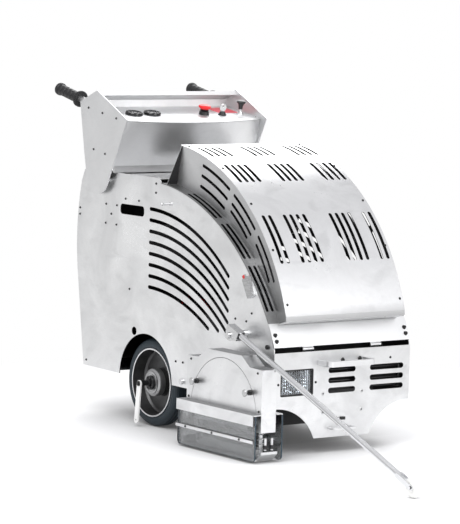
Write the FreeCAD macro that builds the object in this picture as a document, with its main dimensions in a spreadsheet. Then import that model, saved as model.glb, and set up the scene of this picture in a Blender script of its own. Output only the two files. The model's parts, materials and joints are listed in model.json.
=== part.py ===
import FreeCAD, Part
import math
import os
import re

V = FreeCAD.Vector
doc = FreeCAD.newDocument("concrete_saw")
sheet = doc.addObject("Spreadsheet::Sheet", "Dimensions")

# Walk-behind early-entry concrete saw, millimetres.  The geometry is laid out from the rear axle:
# +X forward, +Y to the machine's left, +Z up, with the floor at zero.  Each finished piece is then
# moved by rear_axle_x and centre_plane_y, so that the row's origin is on the floor in the middle
# of the whole footprint, which the pointer arm and the blade guard make lopsided.
DIMENSIONS = {
    "rear_axle_x": -433.2, "centre_plane_y": 48.25,
    # sheet-metal body
    "body_half": 261, "sheet": 3, "thin_sheet": 2, "body_floor": 150, "deck_z": 790,
    "front_x": 672, "front_top": 314, "front_bottom": 47, "front_foot_half": 106,
    "corner_arc_y": 250, "corner_arc_z": -10, "corner_arc_radius": 155,
    "rim_arc_x": -20, "rim_arc_z": 33, "rim_arc_radius": 750, "rim_arc_start": 84.7, "rim_arc_end": 25,
    "arch_x": -17, "arch_z": 145, "arch_radius": 150,
    "louvre_radius": 663, "louvre_width": 12, "louvre_pitch": 35.6, "louvre_rear_x": -12,
    "slot_low": 190, "slot_pitch": 31, "slot_height": 17,
    "lamp_low_y": -236, "lamp_high_y": -112, "lamp_low_z": 181, "lamp_high_z": 262,
    # hood
    "hood_arc_x": 35, "hood_arc_z": 236, "hood_arc_radius": 673, "hood_half": 228,
    "hood_rear_angle": 84, "hood_front_angle": 16.2, "hinge_x": 662, "hinge_z": 322,
    "band_inner": 751, "band_outer": 753, "band_front_angle": 23.3, "band_rear_angle": 84.5,
    "cheek_y": 220, "vent_width": 12, "ledge_vent_width": 10, "vent_pitch": 24.5,
    # console
    "console_y": 275, "dash_front_x": -165, "dash_front_z": 969, "dash_angle": 9, "dash_depth": 203.5,
    "dash_bow": 43, "dash_back_top": 1024, "console_foot": 797,
    "handle_y": 264, "tube_radius": 11, "grip_radius": 18, "grip_length": 136, "handle_angle": 12.3,
    "grip_x": -425, "grip_z": 1023.5,
    "gauge_radius": 29, "gauge_height": 11,
    # running gear
    "axle_z": 140, "tyre_radius": 140, "bead_radius": 110, "tyre_outer_y": 249, "tyre_width": 58,
    "hub_radius": 43, "hub_nut_radius": 22, "dish_depth": 47, "stub_radius": 10, "running_gap": 0.05,
    "lever_y": 294, "lever_pin_radius": 7,
    "front_wheel_x": 255, "front_wheel_radius": 50, "front_wheel_width": 35, "front_wheel_y": 28,
    "column_radius": 8,
    # blade, its guard and the skid plate
    "blade_x": 540, "blade_y": -328, "blade_z": 146, "blade_radius": 127, "blade_thickness": 2.6,
    "guard_outer_y": -351, "guard_inner_y": -297, "guard_bottom": 89,
    "cover_radius": 172, "cover_z": 120, "cover_bottom": 147, "cover_gap": 1.5,
    "rail_low": 112, "rail_high": 145, "rail_rear": 341, "rail_front": 740,
    "skirt_outer_y": -385, "skirt_inner_y": -276, "skirt_thickness": 5, "skirt_bottom": 5,
    "skid_low": 4, "skid_thickness": 6, "skid_half": 42, "skid_rear": 352, "skid_front": 724,
    "post_rear": 378, "post_front": 704, "post_radius": 6, "guide_low": 112,
    # drive
    "crank_x": 300, "crank_z": 330, "crank_pulley": 48, "arbor_pulley": 34, "belt_y": -226,
    "belt_width": 12, "belt_thickness": 7, "arbor_radius": 9,
    # pointer arm
    "pointer_y": -307, "pivot_x": 517, "pivot_z": 355, "pointer_angle": 21.4, "pointer_offset": 18.6,
    "pointer_length": 942, "pointer_radius": 9, "pointer_wheel_radius": 30,
    # fasteners
    "screw_radius": 2.2, "head_radius": 4, "head_height": 2.5,
}
for row, (alias, value) in enumerate(DIMENSIONS.items(), start=1):
    sheet.set(f"A{row}", alias)
    sheet.set(f"B{row}", str(value))
    sheet.setAlias(f"B{row}", alias)
doc.recompute()


class D:
    """The sheet's cells as plain numbers, for outlines that are worked out in code."""


for alias in DIMENSIONS:
    setattr(D, alias, float(sheet.get(alias)))

PARTS = []


# ---------------------------------------------------------------- expressions and primitives
def cell_names(rule):
    """A rule in cell aliases, such as 'front_x - sheet', as an expression on the sheet."""
    word = r"(?<![\w.])[a-z]\w*"
    return re.sub(word, lambda m: "Dimensions." + m[0] if m[0] in DIMENSIONS else m[0], str(rule))


def bind(item, prop, rule):
    item.setExpression(prop, cell_names(rule))
    return item


def place(item, x=0, y=0, z=0):
    for axis, rule in zip("xyz", (x, y, z)):
        bind(item, "Placement.Base." + axis, rule)
    return item


def box(name, x, y, z):
    item = doc.addObject("Part::Box", name)
    for side, (low, high) in zip(("Length", "Width", "Height"), (x, y, z)):
        bind(item, side, f"({high}) - ({low})")
    return place(item, x[0], y[0], z[0])


TURN = {"x": FreeCAD.Rotation(V(0, 1, 0), 90), "y": FreeCAD.Rotation(V(1, 0, 0), -90),
        "z": FreeCAD.Rotation()}


def rod(name, axis, radius, start, length):
    """A cylinder that runs from its start point along +x, +y or +z."""
    item = doc.addObject("Part::Cylinder", name)
    bind(item, "Radius", radius)
    bind(item, "Height", length)
    item.Placement = FreeCAD.Placement(V(), TURN[axis])
    return place(item, *start)


def ring(name, axis, outer, inner, start, length):
    return cut(name, rod(name + "_outer", axis, outer, start, length),
               rod(name + "_bore", axis, inner, start, length))


def fuse(name, *items):
    item = doc.addObject("Part::MultiFuse", name)
    item.Shapes = list(items)
    return item


def cut(name, base, *tools):
    item = doc.addObject("Part::Cut", name)
    item.Base = base
    item.Tool = tools[0] if len(tools) == 1 else fuse(name + "_tools", *tools)
    return item


def group(name, *items):
    """Separate solids that share one node."""
    item = doc.addObject("Part::Compound", name)
    item.Links = list(items)
    return item


def solid(name, shape):
    """A shape made with Part's own functions, for sheets that neither fit a sketch nor a primitive."""
    item = doc.addObject("Part::Feature", name)
    item.Shape = shape
    return item


def finish(label, item):
    """Name a finished piece and move it from the rear-axle layout to the row's frame."""
    item.Label = label
    rules = {path.lstrip("."): rule for path, rule in item.ExpressionEngine}
    for axis, shift in (("x", "rear_axle_x"), ("y", "centre_plane_y")):
        path = "Placement.Base." + axis
        own = rules.get(path, getattr(item.Placement.Base, axis))
        bind(item, path, f"({own}) + {shift}")
    PARTS.append(item)
    return item


# ---------------------------------------------------------------- outlines, sketches and plates
def polar(x, z, radius, degrees):
    return x + radius * math.cos(math.radians(degrees)), z + radius * math.sin(math.radians(degrees))


def curves(outline):
    """Lines and arcs of one closed outline: corners, and ("via", u, v) points that bend an edge."""
    if outline[0] == "circle":
        return [Part.Circle(V(outline[1], outline[2], 0), V(0, 0, 1), outline[3])]
    edges, via = [], None
    last = outline[0]
    for point in outline[1:] + [outline[0]]:
        if point[0] == "via":
            via = point[1:]
            continue
        if via:
            edges.append(Part.Arc(V(*last, 0), V(*via, 0), V(*point, 0)))
        else:
            edges.append(Part.LineSegment(V(*last, 0), V(*point, 0)))
        last, via = point, None
    return edges


def circle(u, v, radius):
    return ["circle", u, v, radius]


def rounded(u0, u1, v0, v1, radius):
    """A rectangle with rounded corners."""
    points = []
    bend = radius * (1 - math.sqrt(0.5))
    for u, v, du, dv in ((u0, v0, 1, 1), (u1, v0, -1, 1), (u1, v1, -1, -1), (u0, v1, 1, -1)):
        ends = [(u, v + radius * dv), ("via", u + bend * du, v + bend * dv), (u + radius * du, v)]
        points += ends if du == dv else ends[::-1]
    return points


def arc_slot(x, z, radius, start, end, width):
    """A slot with round ends that follows an arc; start and end are the slot's own tips."""
    tip = math.degrees(width / 2 / radius)
    start, end = start + math.copysign(tip, end - start), end - math.copysign(tip, end - start)
    middle = (start + end) / 2
    outer, inner = radius + width / 2, radius - width / 2
    return [polar(x, z, outer, start), ("via", *polar(x, z, outer, middle)),
            polar(x, z, outer, end), ("via", *polar(x, z, radius, end + math.copysign(tip, end - start))),
            polar(x, z, inner, end), ("via", *polar(x, z, inner, middle)),
            polar(x, z, inner, start), ("via", *polar(x, z, radius, start - math.copysign(tip, end - start)))]


def strip(points, thickness):
    """The closed outline of a folded sheet whose one face follows the points."""
    back = []
    for i, (u, v) in enumerate(points):
        normals = []
        for a, b in ((i - 1, i), (i, i + 1)):
            if a >= 0 and b < len(points):
                du, dv = points[b][0] - points[a][0], points[b][1] - points[a][1]
                size = math.hypot(du, dv)
                normals.append((-dv / size, du / size))
        nu, nv = (sum(n[k] for n in normals) / len(normals) for k in (0, 1))
        scale = thickness / (nu * nu + nv * nv)
        back.append((u + nu * scale, v + nv * scale))
    return list(points) + back[::-1]


PLANES = {"xy": "XY_Plane", "xz": "XZ_Plane", "yz": "YZ_Plane"}


def plate(name, plane, outlines, thickness, at):
    """A flat sheet: a sketch of its outline and openings, padded.  The sheet starts at the
    coordinate at and grows towards plus along the axis that the sketch plane leaves out."""
    body = doc.addObject("PartDesign::Body", name)
    sketch = body.newObject("Sketcher::SketchObject", name + "_outline")
    support = [item for item in body.Origin.OriginFeatures if item.Role == PLANES[plane]][0]
    sketch.AttachmentSupport = [(support, "")]
    sketch.MapMode = "FlatFace"
    for outline in outlines:
        sketch.addGeometry(curves(outline), False)
    pad = body.newObject("PartDesign::Pad", name + "_pad")
    pad.Profile = sketch
    bind(pad, "Length", thickness)
    bind(body, "Placement.Base." + {"xy": "z", "xz": "y", "yz": "x"}[plane], at)
    pad.Reversed = plane == "xz"
    return body


def prism(outline, low, high):
    """A solid with an outline in X and Z, from low to high in Y."""
    wire = Part.Wire([curve.toShape() for curve in curves(outline)])
    face = Part.Face(wire)
    face.rotate(V(), V(1, 0, 0), 90)
    face.translate(V(0, low, 0))
    return face.extrude(V(0, high - low, 0))


def sector(x, z, inner, outer, start, end):
    middle = (start + end) / 2
    return [polar(x, z, outer, start), ("via", *polar(x, z, outer, middle)), polar(x, z, outer, end),
            polar(x, z, inner, end), ("via", *polar(x, z, inner, middle)), polar(x, z, inner, start)]


def vent(x, z, radius, start, end, y, width):
    """A cutter for a round-ended slot that runs round a curved sheet."""
    tip = math.degrees(width / 2 / radius)
    high, low = max(start, end) - tip, min(start, end) + tip
    reach = 12
    cutter = prism(sector(x, z, radius - reach, radius + reach, low, high), y - width / 2, y + width / 2)
    for angle in (low, high):
        px, pz = polar(x, z, radius - reach, angle)
        ux, uz = polar(0, 0, 1, angle)
        cutter = cutter.fuse(Part.makeCylinder(width / 2, 2 * reach, V(px, y, pz), V(ux, 0, uz)))
    return cutter


def revolve(profile, x, y, z):
    """A turned piece about a Y axis; the profile holds (radius, distance along Y) corners."""
    wire = Part.makePolygon([V(radius, along, 0) for radius, along in profile + profile[:1]])
    shape = Part.Face(wire).revolve(V(), V(0, 1, 0), 360)
    shape.translate(V(x, y, z))
    return shape


def mirrored(shape):
    return shape.mirror(V(), V(0, 1, 0))


def screw(x, y, z, direction, length=8, radius=None, head=None, height=None):
    """A button-head screw: a shank into the sheet and a domed head on its outer face."""
    radius, head, height = radius or D.screw_radius, head or D.head_radius, height or D.head_height
    turned = Part.makeCone(head, head * 0.62, height, V(), V(0, 0, 1))
    socket = Part.makeCylinder(head * 0.3, height * 0.6, V(0, 0, height * 0.5))
    shank = Part.makeCylinder(radius, length, V(0, 0, -length))
    shape = turned.fuse(shank).cut(socket)
    shape.Placement = FreeCAD.Placement(V(x, y, z), FreeCAD.Rotation(V(0, 0, 1), direction))
    return shape


# ---------------------------------------------------------------- body panels
REAR_EDGE = [(-383, 152), (-430, 470), ("via", -436, 600), (-413, 758)]
PANEL_SCREWS = [(-264, 692), (-201, 692), (-151, 717), (-74, 716), (-233, 662), (-265, 630),
                (-202, 629), (-420, 668), (-420, 647), (22, 778), (22, 749), (-366, 170),
                (-118, 429), (467, 398), (524, 396), (551, 423), (153, 228), (192, 229)]


def panel_outline(arbor_notch):
    floor = D.body_floor
    top = polar(D.rim_arc_x, D.rim_arc_z, D.rim_arc_radius, D.rim_arc_start)
    middle = polar(D.rim_arc_x, D.rim_arc_z, D.rim_arc_radius, 54)
    nose = polar(D.rim_arc_x, D.rim_arc_z, D.rim_arc_radius, D.rim_arc_end)
    reach = math.sqrt(D.arch_radius ** 2 - (floor - D.arch_z) ** 2)
    front = D.front_x - D.sheet
    notch = [(D.blade_x + 38, floor), ("via", D.blade_x, floor + 38), (D.blade_x - 38, floor)]
    return (REAR_EDGE + [(-395, 797), (35, 797), (48, 786), top, ("via", *middle), nose,
                         (front, D.hinge_z), (front, floor)] + (notch if arbor_notch else [])
            + [(D.arch_x + reach, floor), ("via", D.arch_x, D.arch_z + D.arch_radius),
               (D.arch_x - reach, floor)])


def louvres():
    ends = [430, 430, 430, 430, 430, 430, 382, 329]
    slots = []
    for row, end in enumerate(ends):
        start, stop = (math.degrees(math.acos((x - D.rim_arc_x) / D.louvre_radius))
                       for x in (D.louvre_rear_x, end))
        centre_z = D.rim_arc_z - row * D.louvre_pitch
        slots.append(arc_slot(D.rim_arc_x, centre_z, D.louvre_radius, start, stop, D.louvre_width))
    return slots


def side_panel(label, low_y, right):
    hand_slot = rounded(-180, -43, 667, 700, 12)
    cable_hole = circle(-86, 297, 13.5)
    screws = [circle(x, z, D.screw_radius) for x, z in PANEL_SCREWS]
    pivot = [circle(D.pivot_x, D.pivot_z, 6), circle(106, 720, 3)] if right else []
    outlines = [panel_outline(right), hand_slot, cable_hole] + louvres() + screws + pivot
    return finish(label, plate(label, "xz", outlines, "sheet", low_y))


side_panel("side_panel_right", "-body_half", True)
side_panel("side_panel_left", "body_half - sheet", False)

FRONT_SCREWS = [(-75, 182), (75, 182), (-74, 125), (74, 125), (184, 279), (-244, 219), (-103, 219)]
FRONT_BOLTS = [(64, 283), (-2, 282)]


def front_panel():
    arcs = []
    for side in (1, -1):
        centre = side * D.corner_arc_y
        edge_z = D.corner_arc_z + math.sqrt(D.corner_arc_radius ** 2 - (D.body_half - D.corner_arc_y) ** 2)
        bend = D.corner_arc_radius * math.sqrt(0.5)
        points = [(side * D.body_half, edge_z), ("via", centre - side * bend, D.corner_arc_z + bend),
                  (side * D.front_foot_half, D.front_bottom)]
        arcs += points if side > 0 else points[::-1]
    outline = [(-D.body_half, D.front_top), (D.body_half, D.front_top)] + arcs
    lamp = rounded(D.lamp_low_y, D.lamp_high_y, D.lamp_low_z, D.lamp_high_z, 5)
    slots = []
    for row in range(3):
        low = D.slot_low - D.slot_height / 2 + row * D.slot_pitch
        for left, right in ((-55, 49), (105, 236)):
            slots.append(rounded(left, right, low, low + D.slot_height, D.slot_height / 2 - 0.05))
    screws = [circle(y, z, D.screw_radius) for y, z in FRONT_SCREWS + FRONT_BOLTS]
    body = plate("front_panel", "yz", [outline, lamp] + slots + screws, "sheet", "front_x - sheet")
    return finish("front_panel", body)


front_panel()


def rear_panel():
    inner = [(x + 3, z) for x, z in ((-398.2, 790), (-413, 758), (-430, 470), (-383, 152))]
    outline = REAR_EDGE + [(-398.2, 790)] + inner[:2] + [("via", -433, 600), inner[2], inner[3]]
    return plate("rear_panel", "xz", [outline], "2 * (body_half - sheet)", "sheet - body_half")


finish("rear_panel", rear_panel())
deck_half = D.body_half - D.sheet
deck_outline = [(-396.8, -deck_half), (40, -deck_half), (40, deck_half), (-396.8, deck_half)]
finish("top_deck", plate("top_deck", "xy", [deck_outline, rounded(-150, -20, -90, 90, 10)],
                         "sheet", "deck_z"))


def chassis_frame():
    """Welded floor plate, front bulkhead and the guide tube of the front wheel column."""
    bays = [(-375, 1), (-160, 1), (-160, 0.68), (150, 0.68), (150, 1), (395, 1), (395, 0.7), (500, 0.7)]
    half = deck_half
    outline = [(x, half * part) for x, part in bays] + [(x, -half * part) for x, part in bays[::-1]]
    floor = plate("floor_plate", "xy", [outline], 6, "body_floor + 10")
    bulkhead = box("bulkhead", (500, 506), (-180, 250), (63, 340))
    guide = rod("column_guide", "z", "column_radius + 6", ("front_wheel_x", 0, 152), 50)
    bore = rod("column_bore", "z", "column_radius + running_gap", ("front_wheel_x", 0, 60), 300)
    return cut("chassis_frame", fuse("frame_weldment", floor, bulkhead, guide), bore)


finish("chassis_frame", chassis_frame())


# ---------------------------------------------------------------- console
CONSOLE_SCREWS = [(-355, 999), (-272, 986), (-190, 973), (-320, 866), (-252, 855)]
SPACERS = [(-338, 772), (-256, 772)]


def console_plate(name, low, spacer_low):
    """One side of the console, held off the body by two spacers."""
    outline = [(-306, 1058), (-127, 971), (-205, 819), (-239, 750), ("via", -290, 722), (-352, 742),
               (-377, 858), (-406, 1017)]
    holes = [circle(x, z, D.screw_radius) for x, z in CONSOLE_SCREWS]
    side = plate(name + "_sheet", "xz", [outline] + holes, "sheet", low)
    spacers = [rod(f"{name}_spacer_{i}", "y", 8, (x, spacer_low, z), "console_y - body_half")
               for i, (x, z) in enumerate(SPACERS)]
    return fuse(name, side, *spacers)


finish("console_side_plates", group(
    "console_side_plates", console_plate("console_plate_right", "-console_y - sheet", "-console_y"),
    console_plate("console_plate_left", "console_y", "body_half")))

dash_slope = math.tan(math.radians(D.dash_angle))
DASH_TURN = FreeCAD.Rotation(V(0, 1, 0), D.dash_angle)


def dash_top(x):
    return D.dash_front_z + (D.dash_front_x - x) * dash_slope


DASH_ITEMS = {"gauge_right": (-243, -175), "gauge_left": (-243, -104), "stop": (-234, 96),
              "key": (-224, 163), "throttle": (-229, 238)}


def on_dash(name, shape):
    """Stand a piece that was built upright at the origin on the dash's top face."""
    x, y = DASH_ITEMS[name]
    shape.Placement = FreeCAD.Placement(V(x, y, dash_top(x)), DASH_TURN).multiply(shape.Placement)
    return shape


def dash_panel():
    """The sloping dash: bowed at the front, turned up at the back, with holes for its controls."""
    half = D.console_y
    wire = Part.Wire([Part.makeLine(V(0, half, 0), V(-D.dash_depth, half, 0)),
                      Part.makeLine(V(-D.dash_depth, half, 0), V(-D.dash_depth, -half, 0)),
                      Part.makeLine(V(-D.dash_depth, -half, 0), V(0, -half, 0)),
                      Part.Arc(V(0, -half, 0), V(D.dash_bow, 0, 0), V(0, half, 0)).toShape()])
    shape = Part.Face(wire).extrude(V(0, 0, -D.sheet))
    shape.Placement = FreeCAD.Placement(V(D.dash_front_x, 0, D.dash_front_z), DASH_TURN)
    rear = D.dash_front_x - D.dash_depth * math.cos(math.radians(D.dash_angle))
    low = dash_top(rear) - D.sheet
    shape = shape.fuse(Part.makeBox(D.sheet, 2 * half, D.dash_back_top - low, V(rear - 1, -half, low)))
    for name, radius in (("gauge_right", 25), ("gauge_left", 25), ("stop", 11), ("key", 10), ("throttle", 8)):
        shape = shape.cut(on_dash(name, Part.makeCylinder(radius, 12, V(0, 0, -8))))
    return solid("dash_panel", shape)


finish("dash_panel", dash_panel())


def console_front_sheet():
    """Bowed at the top to meet the dash, straight at the bottom, with a short flange on the deck."""
    half, drop = D.console_y, D.sheet + 0.6
    corner = V(D.dash_front_x, half, D.dash_front_z - drop)
    crown = V(D.dash_front_x + D.dash_bow, 0, D.dash_front_z - D.dash_bow * dash_slope - drop)
    top = Part.Arc(V(corner.x, -half, corner.z), crown, corner).toShape()
    bottom = Part.makeLine(V(-205, -half, 819), V(-205, half, 819))
    sheet_face = Part.makeRuledSurface(top, bottom)
    flange = Part.makeBox(D.sheet, 2 * half, 819 - D.console_foot, V(-205 - D.sheet, -half, D.console_foot))
    return solid("console_front_sheet", sheet_face.extrude(V(-D.sheet, 0, 0)).fuse(flange))


finish("console_front_sheet", console_front_sheet())


def handle_point(distance):
    """A point on the handle's centre line, measured rearward from the grip's front flange."""
    angle = math.radians(D.handle_angle)
    return D.grip_x - distance * math.cos(angle), D.grip_z + distance * math.sin(angle)


HANDLE_DIRECTION = V(-math.cos(math.radians(D.handle_angle)), 0, math.sin(math.radians(D.handle_angle)))


def handle_tube(side, radius):
    x, z = handle_point(-56)
    return Part.makeCylinder(radius, 56 + D.grip_length - 4, V(x, side * D.handle_y, z), HANDLE_DIRECTION)


def console_back_panel():
    """A folded sheet: front lip, sloping top, rear face down to the deck, notched for the tubes."""
    fold = strip([(-306, 1041), (-306, 1054), (-402, 1012), (-374, 862), (-361, D.console_foot)], D.sheet)
    sheet_body = plate("console_back_sheet", "xz", [fold], "2 * console_y", "-console_y")
    notches = [solid(f"tube_notch_{i}", handle_tube(side, D.tube_radius + 1))
               for i, side in enumerate((-1, 1))]
    return cut("console_back_panel", sheet_body, *notches)


finish("console_back_panel", console_back_panel())


def grip(side):
    """A ribbed rubber grip: front flange, five barrels with grooves between them and a round cap."""
    reach, bore = D.grip_length, D.tube_radius
    profile = [(bore, 0), (27, 0), (27, 6), (20, 11), (20, 14)]
    barrel = (reach - 30) / 5
    for i in range(5):
        start = 14 + i * barrel
        profile += [(16, start + 1.5), (16, start + 4)]
        profile += [(D.grip_radius, start + 6), (D.grip_radius, start + barrel)]
    profile += [(21, reach - 13), (21, reach - 5), (14, reach), (0, reach), (0, reach - 4), (bore, reach - 4)]
    wire = Part.makePolygon([V(radius, 0, along) for radius, along in profile + profile[:1]])
    shape = Part.Face(wire).revolve(V(), V(0, 0, 1), 360)
    x, z = handle_point(0)
    turn = FreeCAD.Rotation(V(0, 0, 1), HANDLE_DIRECTION)
    shape.Placement = FreeCAD.Placement(V(x, side * D.handle_y, z), turn)
    return shape


finish("handle_tubes", group("handle_tubes", *(solid(f"handle_tube_{i}", handle_tube(side, D.tube_radius))
                                              for i, side in enumerate((-1, 1)))))
finish("grips", group("grips", *(solid(f"grip_{i}", grip(side)) for i, side in enumerate((-1, 1)))))


def gauge():
    bezel = Part.makeCylinder(D.gauge_radius, D.gauge_height - 4).fuse(
        Part.makeCone(D.gauge_radius, D.gauge_radius - 4, 4, V(0, 0, D.gauge_height - 4)))
    dial_recess = Part.makeCylinder(D.gauge_radius - 6, 3, V(0, 0, D.gauge_height - 3))
    barrel = Part.makeCylinder(24.5, 40, V(0, 0, -40))
    return bezel.cut(dial_recess).fuse(barrel)


finish("gauges", group("gauges", *(solid("gauge_" + side, on_dash("gauge_" + side, gauge()))
                                   for side in ("right", "left"))))


def stop_base():
    shell = Part.makeCylinder(16, 11).fuse(Part.makeCylinder(10.8, 34, V(0, 0, -34)))
    return shell.cut(Part.makeCylinder(6.05, 60, V(0, 0, -20)))


def stop_button():
    stem = Part.makeCylinder(6, 30, V(0, 0, -10))
    cap = Part.makeCone(19, 21, 7, V(0, 0, 20)).fuse(Part.makeCone(21, 14, 6, V(0, 0, 27)))
    return stem.fuse(cap)


def key_switch():
    shell = Part.makeCylinder(14, 3).fuse(Part.makeCone(12, 9, 9, V(0, 0, 3)))
    shell = shell.fuse(Part.makeCylinder(9.8, 30, V(0, 0, -30)))
    return shell.cut(Part.makeCylinder(5.05, 24, V(0, 0, -10)))


def ignition_key():
    stem = Part.makeCylinder(5, 20, V(0, 0, -7)).cut(Part.makeBox(20, 20, 9, V(1.5, -10, 6)))
    stem = stem.cut(Part.makeBox(20, 20, 9, V(-21.5, -10, 6)))
    bow = Part.makeCylinder(12.5, 3, V(-1.5, 0, 25), V(1, 0, 0))
    return stem.fuse(bow).cut(Part.makeCylinder(4, 9, V(-4, 0, 30), V(1, 0, 0)))


def throttle_bush():
    shell = Part.makeCylinder(12, 3).fuse(Part.makeCone(9, 7, 8, V(0, 0, 3)))
    return shell.fuse(Part.makeCylinder(7.8, 30, V(0, 0, -30))).cut(Part.makeCylinder(4.05, 60, V(0, 0, -40)))


def throttle_knob():
    """The knob's rod is long enough to stay in its bush when it is pulled right out."""
    stem = Part.makeCylinder(4, 92, V(0, 0, -72)).fuse(Part.makeCone(6, 10, 20, V(0, 0, 18)))
    return stem.fuse(Part.makeCone(14, 15, 5, V(0, 0, 38))).fuse(Part.makeCone(15, 9, 5, V(0, 0, 43)))


finish("emergency_stop_base", solid("emergency_stop_base", on_dash("stop", stop_base())))
finish("emergency_stop_button", solid("emergency_stop_button", on_dash("stop", stop_button())))
finish("key_switch", solid("key_switch", on_dash("key", key_switch())))
finish("ignition_key", solid("ignition_key", on_dash("key", ignition_key())))
finish("throttle_bush", solid("throttle_bush", on_dash("throttle", throttle_bush())))
finish("throttle_knob", solid("throttle_knob", on_dash("throttle", throttle_knob())))


def legend_plate():
    """A plain red plate behind the key and the throttle."""
    shape = Part.makeBox(78, 77, 1.2)
    shape.Placement = FreeCAD.Placement(V(-336, 175, dash_top(-336)), DASH_TURN)
    return shape


finish("legend_plate", solid("legend_plate", legend_plate()))


# ---------------------------------------------------------------- hood, which tips forward
HINGE_PLACES = (-150, 110)


def rim_angle(z):
    return math.degrees(math.asin((z - D.rim_arc_z) / D.band_outer))


SKIN_SCREWS = [(D.hood_arc_x, D.hood_arc_z, D.hood_arc_radius, angle, y)
               for angle in (81.5, 65, 49.5, 34.5, 19.4) for y in (-216, 216)]
BAND_SCREWS = [(D.rim_arc_x, D.rim_arc_z, D.band_outer, rim_angle(z), y)
               for z in (367, 349) for y in (-248, 248)]


def screw_seat(x, z, radius, angle, y):
    """Where a screw's head sits on a rolled sheet, and which way it faces."""
    px, pz = polar(x, z, radius, angle)
    ux, uz = polar(0, 0, 1, angle)
    return V(px, y, pz), V(ux, 0, uz)


def screw_hole(*place):
    seat, facing = screw_seat(*place)
    return Part.makeCylinder(2, 8, seat - facing * 4, facing)


def hood_base_band():
    """The curved sheet under the hood, with two rows of slots in each side ledge."""
    x, z, middle = D.rim_arc_x, D.rim_arc_z, (D.band_inner + D.band_outer) / 2
    band = prism(sector(x, z, D.band_inner, D.band_outer, D.band_front_angle, D.band_rear_angle),
                 -D.body_half, D.body_half)
    opening = prism(sector(x, z, middle - 20, middle + 20, 34, 79), -205, 205)
    slots = [vent(x, z, middle, start, end, side * y, D.ledge_vent_width)
             for side in (1, -1) for y in (250, 231)
             for start, end in ((74.3, 61.4), (59.1, 46.9), (44.8, 32.2))]
    holes = [screw_hole(*place) for place in BAND_SCREWS]
    return solid("hood_base_band", band.cut(slots + [opening] + holes).fuse(hinge_barrels()))


def hood_vents():
    x, z, radius = D.hood_arc_x, D.hood_arc_z, D.hood_arc_radius
    four = [k * D.vent_pitch for k in range(4)]
    rows = [((80.4, 72), [y + k for y in (-196, -31, 136) for k in four]),
            ((66.9, 58.1), [y + k for y in (-196, -31, 136) for k in four]),
            ((45.4, 30.5), [-198, -174] + [y + k for y in (-118, 57.5) for k in four] + [187, 211])]
    return [vent(x, z, radius, *ends, y, D.vent_width) for ends, places in rows for y in places]


def hood_skin():
    """The outer skin: a rolled sheet whose front edge turns down and back under to the band."""
    x, z, radius, half = D.hood_arc_x, D.hood_arc_z, D.hood_arc_radius, D.hood_half
    rolled = prism(sector(x, z, radius - D.thin_sheet, radius, D.hood_front_angle, D.hood_rear_angle),
                   -half, half)
    nose = polar(x, z, radius, D.hood_front_angle)
    fold = strip([(nose[0], nose[1] + 1), (nose[0] + 0.5, 410), (642, 397)], -D.thin_sheet)
    lip = prism(fold, -half, half)
    slots = []
    for low, high in ((-205, -40), (0, 165)):
        cutter = Part.makeBox(7, high - low, 60, V(661, low, 380))
        slots.append(cutter)
    holes = [screw_hole(*place) for place in SKIN_SCREWS]
    return solid("hood_skin", rolled.fuse(lip).cut(hood_vents() + slots + holes))


def hood_cheek(low):
    """One upright cheek between the base band and the skin, with three rows of arc slots."""
    x, z = D.hood_arc_x, D.hood_arc_z
    outer, inner = D.hood_arc_radius - D.thin_sheet - 0.1, D.band_outer + 0.1
    foot = polar(D.rim_arc_x, D.rim_arc_z, inner, 29.2)
    heel = polar(D.rim_arc_x, D.rim_arc_z, inner, 82.3)
    outline = [heel, ("via", *polar(D.rim_arc_x, D.rim_arc_z, inner, 55)), foot,
               (678, 414), polar(x, z, outer, 17), ("via", *polar(x, z, outer, 50)), polar(x, z, outer, 83.8)]
    shape = prism(outline, low, low + D.thin_sheet)
    rows = [(640, 73.3, 58.6), (608, 72.9, 58), (575, 72.5, 57.6), (640, 56.5, 42.8), (612, 55.8, 42.8),
            (590, 55, 43.4), (640, 40.8, 26.4), (616, 39.6, 27.2)]
    slots = [prism(arc_slot(x, z, radius, start, end, D.ledge_vent_width), low - 2, low + 4)
             for radius, start, end in rows]
    return shape.cut(slots)


def hood_frame():
    """Both cheeks and the sloping rear plate that joins them, folded from one sheet."""
    y, wide = D.hood_half - 4, D.body_half - 1
    heel = polar(D.rim_arc_x, D.rim_arc_z, D.band_outer + 0.6, 82.3)
    head = polar(D.hood_arc_x, D.hood_arc_z, D.hood_arc_radius - D.thin_sheet - 0.2, 83.8)
    corners = [V(heel[0], -wide, heel[1]), V(heel[0], wide, heel[1]),
               V(head[0], y, head[1]), V(head[0], -y, head[1])]
    plate_face = Part.Face(Part.makePolygon(corners + corners[:1]))
    rear = plate_face.extrude(V(-D.thin_sheet, 0, 0))
    cheeks = [hood_cheek(D.cheek_y), hood_cheek(-D.cheek_y - D.thin_sheet)]
    return solid("hood_frame", rear.fuse(cheeks).removeSplitter())


def hood_screws():
    """Small screws along both edges of the skin and four black bolts at the band's front end."""
    shapes = []
    for sizes, places in (((4.5, 2.5), SKIN_SCREWS), ((7, 6), BAND_SCREWS)):
        for place in places:
            seat, facing = screw_seat(*place)
            shapes.append(screw(seat.x, seat.y, seat.z, facing, D.thin_sheet, 2, *sizes))
    return group("hood_screws", *(solid(f"hood_screw_{i}", shape) for i, shape in enumerate(shapes)))


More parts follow.
